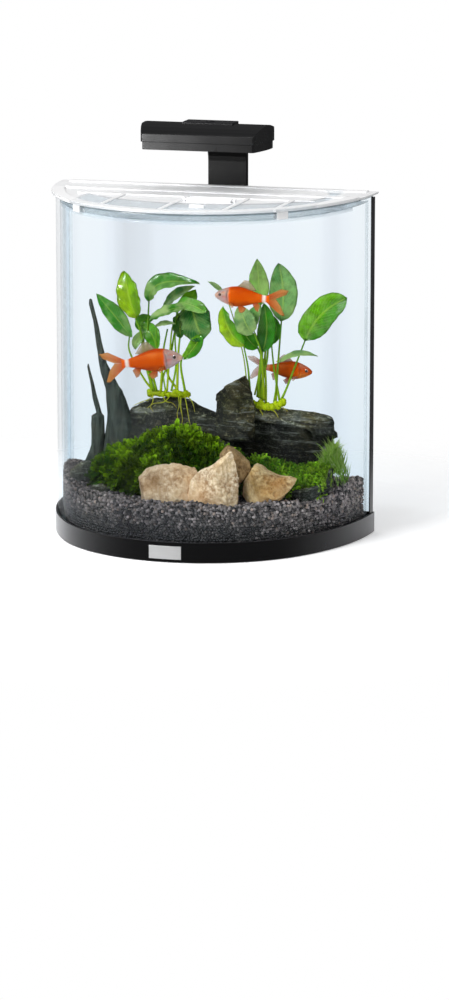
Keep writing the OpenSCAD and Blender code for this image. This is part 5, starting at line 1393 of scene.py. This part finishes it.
def fish(name, origin, tilt, mirror, scale, head_red, replaces, bend=0.0):
    nx, ns = 74, 44
    x = -74 * (np.linspace(0, 1, nx) ** 1.15)
    tz = np.interp(-x, [-a for a, _ in TOP], [b for _, b in TOP])
    bz = np.interp(-x, [-a for a, _ in BOT], [b for _, b in BOT])
    hw = np.interp(-x, [-a for a, _ in HALF], [b for _, b in HALF])
    ang = np.linspace(0, 2 * math.pi, ns, endpoint=False)
    ca, sa = np.cos(ang), np.sin(ang)
    zz = np.where(sa > 0, tz[:, None] * sa[None], -bz[:, None] * sa[None])
    yy = hw[:, None] * np.sign(ca) * np.abs(ca) ** 0.85
    V = np.stack([np.repeat(x[:, None], ns, 1), yy, zz], -1)
    U = np.stack([np.repeat((-x / 74)[:, None], ns, 1), np.repeat((ang / (2 * math.pi))[None], nx, 0)], -1)
    V = V.reshape(-1, 3)
    U = U.reshape(-1, 2)
    # gill cover edge, jaw line
    gx = -17.5 - 1.6 * (V[:, 2] / 9) ** 2
    lip = np.exp(-((V[:, 0] - gx) / 0.9) ** 2) * (np.abs(V[:, 2]) < 9.5)
    V[:, 1] += np.sign(V[:, 1]) * (-0.55 * lip + 0.35 * np.exp(-((V[:, 0] - gx - 1.8) / 1.6) ** 2) * (np.abs(V[:, 2]) < 9))
    jaw = np.exp(-((V[:, 2] + 0.6 + 0.12 * V[:, 0]) / 0.5) ** 2) * smooth(-5.5, -0.5, V[:, 0])
    V[:, 1] *= 1 - 0.3 * jaw
    V[:, 0] -= 0.8 * jaw * smooth(-2.5, 0, V[:, 0])
    # colour zones
    orange = np.array([0.76, 0.088, 0.0])
    deep = np.array([0.62, 0.052, 0.0])
    lower_flank_shade = np.array([0.36, 0.040, 0.003])
    head = np.array([0.33, 0.245, 0.225]) if not head_red else np.array([0.56, 0.065, 0.008])
    silver = np.array([0.44, 0.40, 0.40]) if not head_red else np.array([0.66, 0.20, 0.04])
    h = np.clip(V[:, 2] / np.where(V[:, 2] > 0, 13.0, 12.5), -1, 1)
    c = orange + (deep - orange) * smooth(0.25, 0.95, h)[:, None]
    # painted shade: the lower flank is painted darker; the very bottom edge turns lighter again below
    c = c + (lower_flank_shade - c) * (0.85 * smooth(-0.15, -0.75, h))[:, None]
    c = c + (np.array([0.55, 0.20, 0.07]) - c) * (0.7 * smooth(-0.82, -1.0, h))[:, None]
    wob = 1.2 * fbm(V, 6.0, 3, 3)
    hm = smooth(-21.5, -17.5, V[:, 0] + wob * 1.6)
    c = c + (head - c) * hm[:, None]
    c = c + (silver - c) * (hm * smooth(0.15, -0.5, h) * 0.8)[:, None]
    crown = hm * smooth(0.25, 0.75, h) * (0.75 if head_red else 0.45)
    c = c + ((np.array(srgb("c9795c")) if head_red else np.array([0.52, 0.40, 0.33])) - c) * crown[:, None]
    cheek = np.exp(-((V[:, 0] + 14.5) / 3.2) ** 2 - ((V[:, 2] + 1.5) / 4.0) ** 2)
    c = c + (np.array(srgb("c97c74")) - c) * (0.6 * cheek)[:, None] * (0 if head_red else 1)
    if not head_red:
        # pale nose, reddish mottling behind the eye, dark line along the gill cover
        c = c + (np.array([0.58, 0.48, 0.38]) - c) * (0.75 * smooth(-5.0, -1.0, V[:, 0]))[:, None]
        mot = hm * smooth(0.10, 0.40, fbm(V, 2.8, 2, 44)) * smooth(-7.0, -12.0, V[:, 0])
        c = c + (np.array([0.46, 0.13, 0.09]) - c) * (0.55 * mot)[:, None]
        c = c * (1 - 0.45 * np.clip(lip, 0, 1) * smooth(0.9, 0.5, np.abs(h)))[:, None]
    else:
        c = c * (1 - 0.35 * np.clip(lip, 0, 1))[:, None]
    band = smooth(-70.5, -68.0, V[:, 0]) * smooth(-63.5, -66.0, V[:, 0])
    c = c + (np.array(srgb("efe7dc")) - c) * (band * (0.95 if not head_red else 0.3))[:, None]
    sc = smooth(-20.0, -24.0, V[:, 0]) * smooth(-68, -62, V[:, 0])
    cols = np.column_stack([c, sc])
    idx = np.arange(nx * ns).reshape(nx, ns)
    q = np.stack([idx[:-1], idx[1:], np.roll(idx[1:], -1, 1), np.roll(idx[:-1], -1, 1)], -1).reshape(-1, 4)
    body = Bag()
    body.add(V, q, cols, U)
    body.add([V[:ns].mean(0)] + list(V[:ns]), [(0, 1 + k, 1 + (k + 1) % ns) for k in range(ns)], np.column_stack([np.vstack([cols[0, :3], cols[:ns, :3]]), np.zeros(ns + 1)]))
    body.add([V[-ns:].mean(0)] + list(V[-ns:]), [(0, 1 + (k + 1) % ns, 1 + k) for k in range(ns)], np.column_stack([np.vstack([cols[-1, :3], cols[-ns:, :3]]), np.zeros(ns + 1)]))

    fins = Bag()

    def fin(root, tips, y0, splay, c_in, c_out, a_in, a_out, nu=12, ripple=0.5):
        """root and tips: polylines with the same ends order; the sheet runs from root to tips."""
        r = np.array(root, float)
        e = np.array(tips, float)
        m = 22
        k = np.linspace(0, 1, m)
        rr = np.stack([np.interp(k, np.linspace(0, 1, len(r)), r[:, i]) for i in range(2)], 1)
        ee = np.stack([np.interp(k, np.linspace(0, 1, len(e)), e[:, i]) for i in range(2)], 1)
        s = np.linspace(0, 1, nu)
        P2 = rr[None] + (ee - rr)[None] * s[:, None, None]
        Yv = y0 + splay * s[:, None] + ripple * np.sin(k[None] * 9 + s[:, None] * 2) * s[:, None]
        P = np.stack([P2[..., 0], Yv + 0 * P2[..., 0], P2[..., 1]], -1)
        c = np.array(c_in)[None] + (np.array(c_out) - np.array(c_in))[None] * s[:, None]
        a = a_in + (a_out - a_in) * s ** 1.3
        cc = np.concatenate([np.repeat(c[:, None], m, 1), np.repeat(a[:, None, None], m, 1)], -1).reshape(-1, 4)
        uv = np.stack([np.repeat(s[:, None], m, 1), np.repeat(k[None], nu, 0)], -1).reshape(-1, 2)
        ii = np.arange(nu * m).reshape(nu, m)
        f = np.stack([ii[:-1, :-1], ii[1:, :-1], ii[1:, 1:], ii[:-1, 1:]], -1).reshape(-1, 4)
        th = 0.16
        top, bot = P.reshape(-1, 3) + [0, th, 0], P.reshape(-1, 3) - [0, th, 0]
        rim = np.zeros((nu, m), bool)
        rim[0], rim[-1], rim[:, 0], rim[:, -1] = True, True, True, True
        rim = rim.reshape(-1)
        bi = np.arange(nu * m) + nu * m
        bi[rim] = np.arange(nu * m)[rim]
        top[rim] = P.reshape(-1, 3)[rim]
        fins.add(np.vstack([top, bot]), np.vstack([f, bi[f][:, ::-1]]), np.vstack([cc, cc]), np.vstack([uv, uv]))
    o1, o2, tip, brown = (0.74, 0.11, 0.002), (0.66, 0.20, 0.02), (0.74, 0.36, 0.10), (0.42, 0.30, 0.10)
    if head_red:
        o1, o2, tip, brown = srgb("d8561c"), srgb("d98a62"), srgb("cfc0b8"), srgb("b5734a")
    # tail: upper and lower lobes
    fin([(-70, 4.3), (-72, 0.3)], [(-90, 14.5), (-100.5, 13.5), (-97, 7.5), (-83, 1.2)], 0.0, 0.5, o1, tip, 1.0, 0.95 if not head_red else 0.40)
    fin([(-72, 0.3), (-70, -4.3)], [(-83, 1.0), (-90, -7), (-96, -20), (-92, -20.5), (-82, -13.5)], 0.0, -0.5, o1, tip, 1.0, 0.95 if not head_red else 0.40)
    # dorsal
    fin([(-29, 12.8), (-36, 12.4), (-43, 10.8), (-50, 8.6)], [(-35, 18.0), (-39, 22.4), (-45, 22.2), (-50, 17.5), (-56, 9.8)], 0.0, 0.6, brown, (0.58, 0.52, 0.34), 0.85, 0.45)
    # pelvic pair, anal, pectoral pair
    for s in (-1, 1):
        fin([(-32, -11.8), (-37, -11.6)], [(-34, -19.5), (-38.5, -20.5), (-42, -15)], 1.8 * s, 2.4 * s, o1, tip, 0.95, 0.7)
        fin([(-19.5, -6.0), (-20.5, -8.6)], [(-27, -8.2), (-28.5, -12.0), (-25.5, -14.0)], 5.4 * s, 4.0 * s, o2, tip, 0.7, 0.35)
    fin([(-51, -8.2), (-58, -6.2)], [(-55, -16.5), (-59, -18.2), (-62, -9)], 0.0, 0.5, o1, tip, 0.95, 0.65)

    eyes = Bag()
    ev, ef = ICO[3]
    for s in (-1, 1):
        c = np.array([-7.8, 3.9 * s, 2.1])
        V2 = ev * [2.6, 1.6, 2.6] + c
        side = ev[:, 1] * s
        rr = np.hypot(ev[:, 0], ev[:, 2])
        col = np.where((rr < 0.70)[:, None], np.array([0.010, 0.004, 0.003]), np.where((rr < 0.80)[:, None], np.array(srgb("8a4a34")), np.array(srgb("c0a89c"))))
        eyes.add(V2, ef, col)

    bags = {"body": (body, M_FISH), "fins": (fins, M_FIN), "eyes": (eyes, M_EYE)}
    ct, st_ = math.cos(math.radians(tilt)), math.sin(math.radians(tilt))
    for part, (bg, mt) in bags.items():
        for i, P in enumerate(bg.V):
            P = P.copy()
            # swimming bend of the tail part
            w = smooth(-25, -100, P[:, 0])
            P[:, 1] += bend * w * w * 12
            P *= scale
            P = np.column_stack([P[:, 0] * ct - P[:, 2] * st_, P[:, 1], P[:, 0] * st_ + P[:, 2] * ct])
            if mirror:
                P[:, 0] *= -1
            bg.V[i] = P + np.array(origin, float)
        if mirror:
            bg.F3 = [f[:, ::-1] for f in bg.F3]
            bg.F4 = [f[:, ::-1] for f in bg.F4]
        bg.done(f"{name}_{part}", mt, "fish", replaces=(replaces,) if part == "body" else ())


def fishes():
    fish("goldfish_a", (2.6, -50, 237.7), 8.5, False, 1.05, False, "goldfish_a", bend=0.25)
    fish("goldfish_b", (40.7, -40, 314.0), 1.5, True, 0.92, False, "goldfish_b", bend=-0.3)
    fish("goldfish_c", (126.0, 95, 200.5), -3.5, False, 0.84, True, "goldfish_c", bend=0.3)


# ------------------------------------------------------------------ water
def water():
    ring = outline(8.12, 111.9, 26, 44)
    c = np.array([0.0, 20.0])
    V, n = [], len(ring)
    steps = np.r_[1.0, 0.985, 0.95, 0.88, 0.75, 0.55, 0.3]
    for s in steps:
        q = c + (ring - c) * s
        z = 411.4 + 1.4 * smooth(0.985, 1.0, s) + 0.15 * vnoise(np.column_stack([q, 0 * q[:, 0]]), 40.0, 4)
        V.append(np.column_stack([q, z]))
    V = np.vstack(V + [[[0, 20, 411.4]]])
    F = []
    for j in range(len(steps) - 1):
        for k in range(n):
            a, b = j * n + k, j * n + (k + 1) % n
            F += [(a, b, b + n), (a, b + n, a + n)]
    top = (len(steps) - 1) * n
    F += [(top + k, top + (k + 1) % n, len(V) - 1) for k in range(n)]
    build("water_surface", V, np.array(F), M_WATER, "glass")
    # the dark line where the water climbs the glass
    rim = outline(8.3, 60.0, 40, 70)
    n = len(rim)
    zs = [407.5, 409.5, 411.2, 412.6]
    ins = [0.0, 0.1, 0.35, 0.02]
    V = np.vstack([np.column_stack([rim * (1 - i / 200), np.full(n, z)]) for z, i in zip(zs, ins)])
    F = []
    for j in range(3):
        for k in range(n - 1):
            a = j * n + k
            F.append((a, a + 1, a + n + 1, a + n))
    build("water_edge", V, np.array(F), M_EDGE, "glass")


gravel()
stones()
driftwood()
moss()
plants()
fishes()
water()
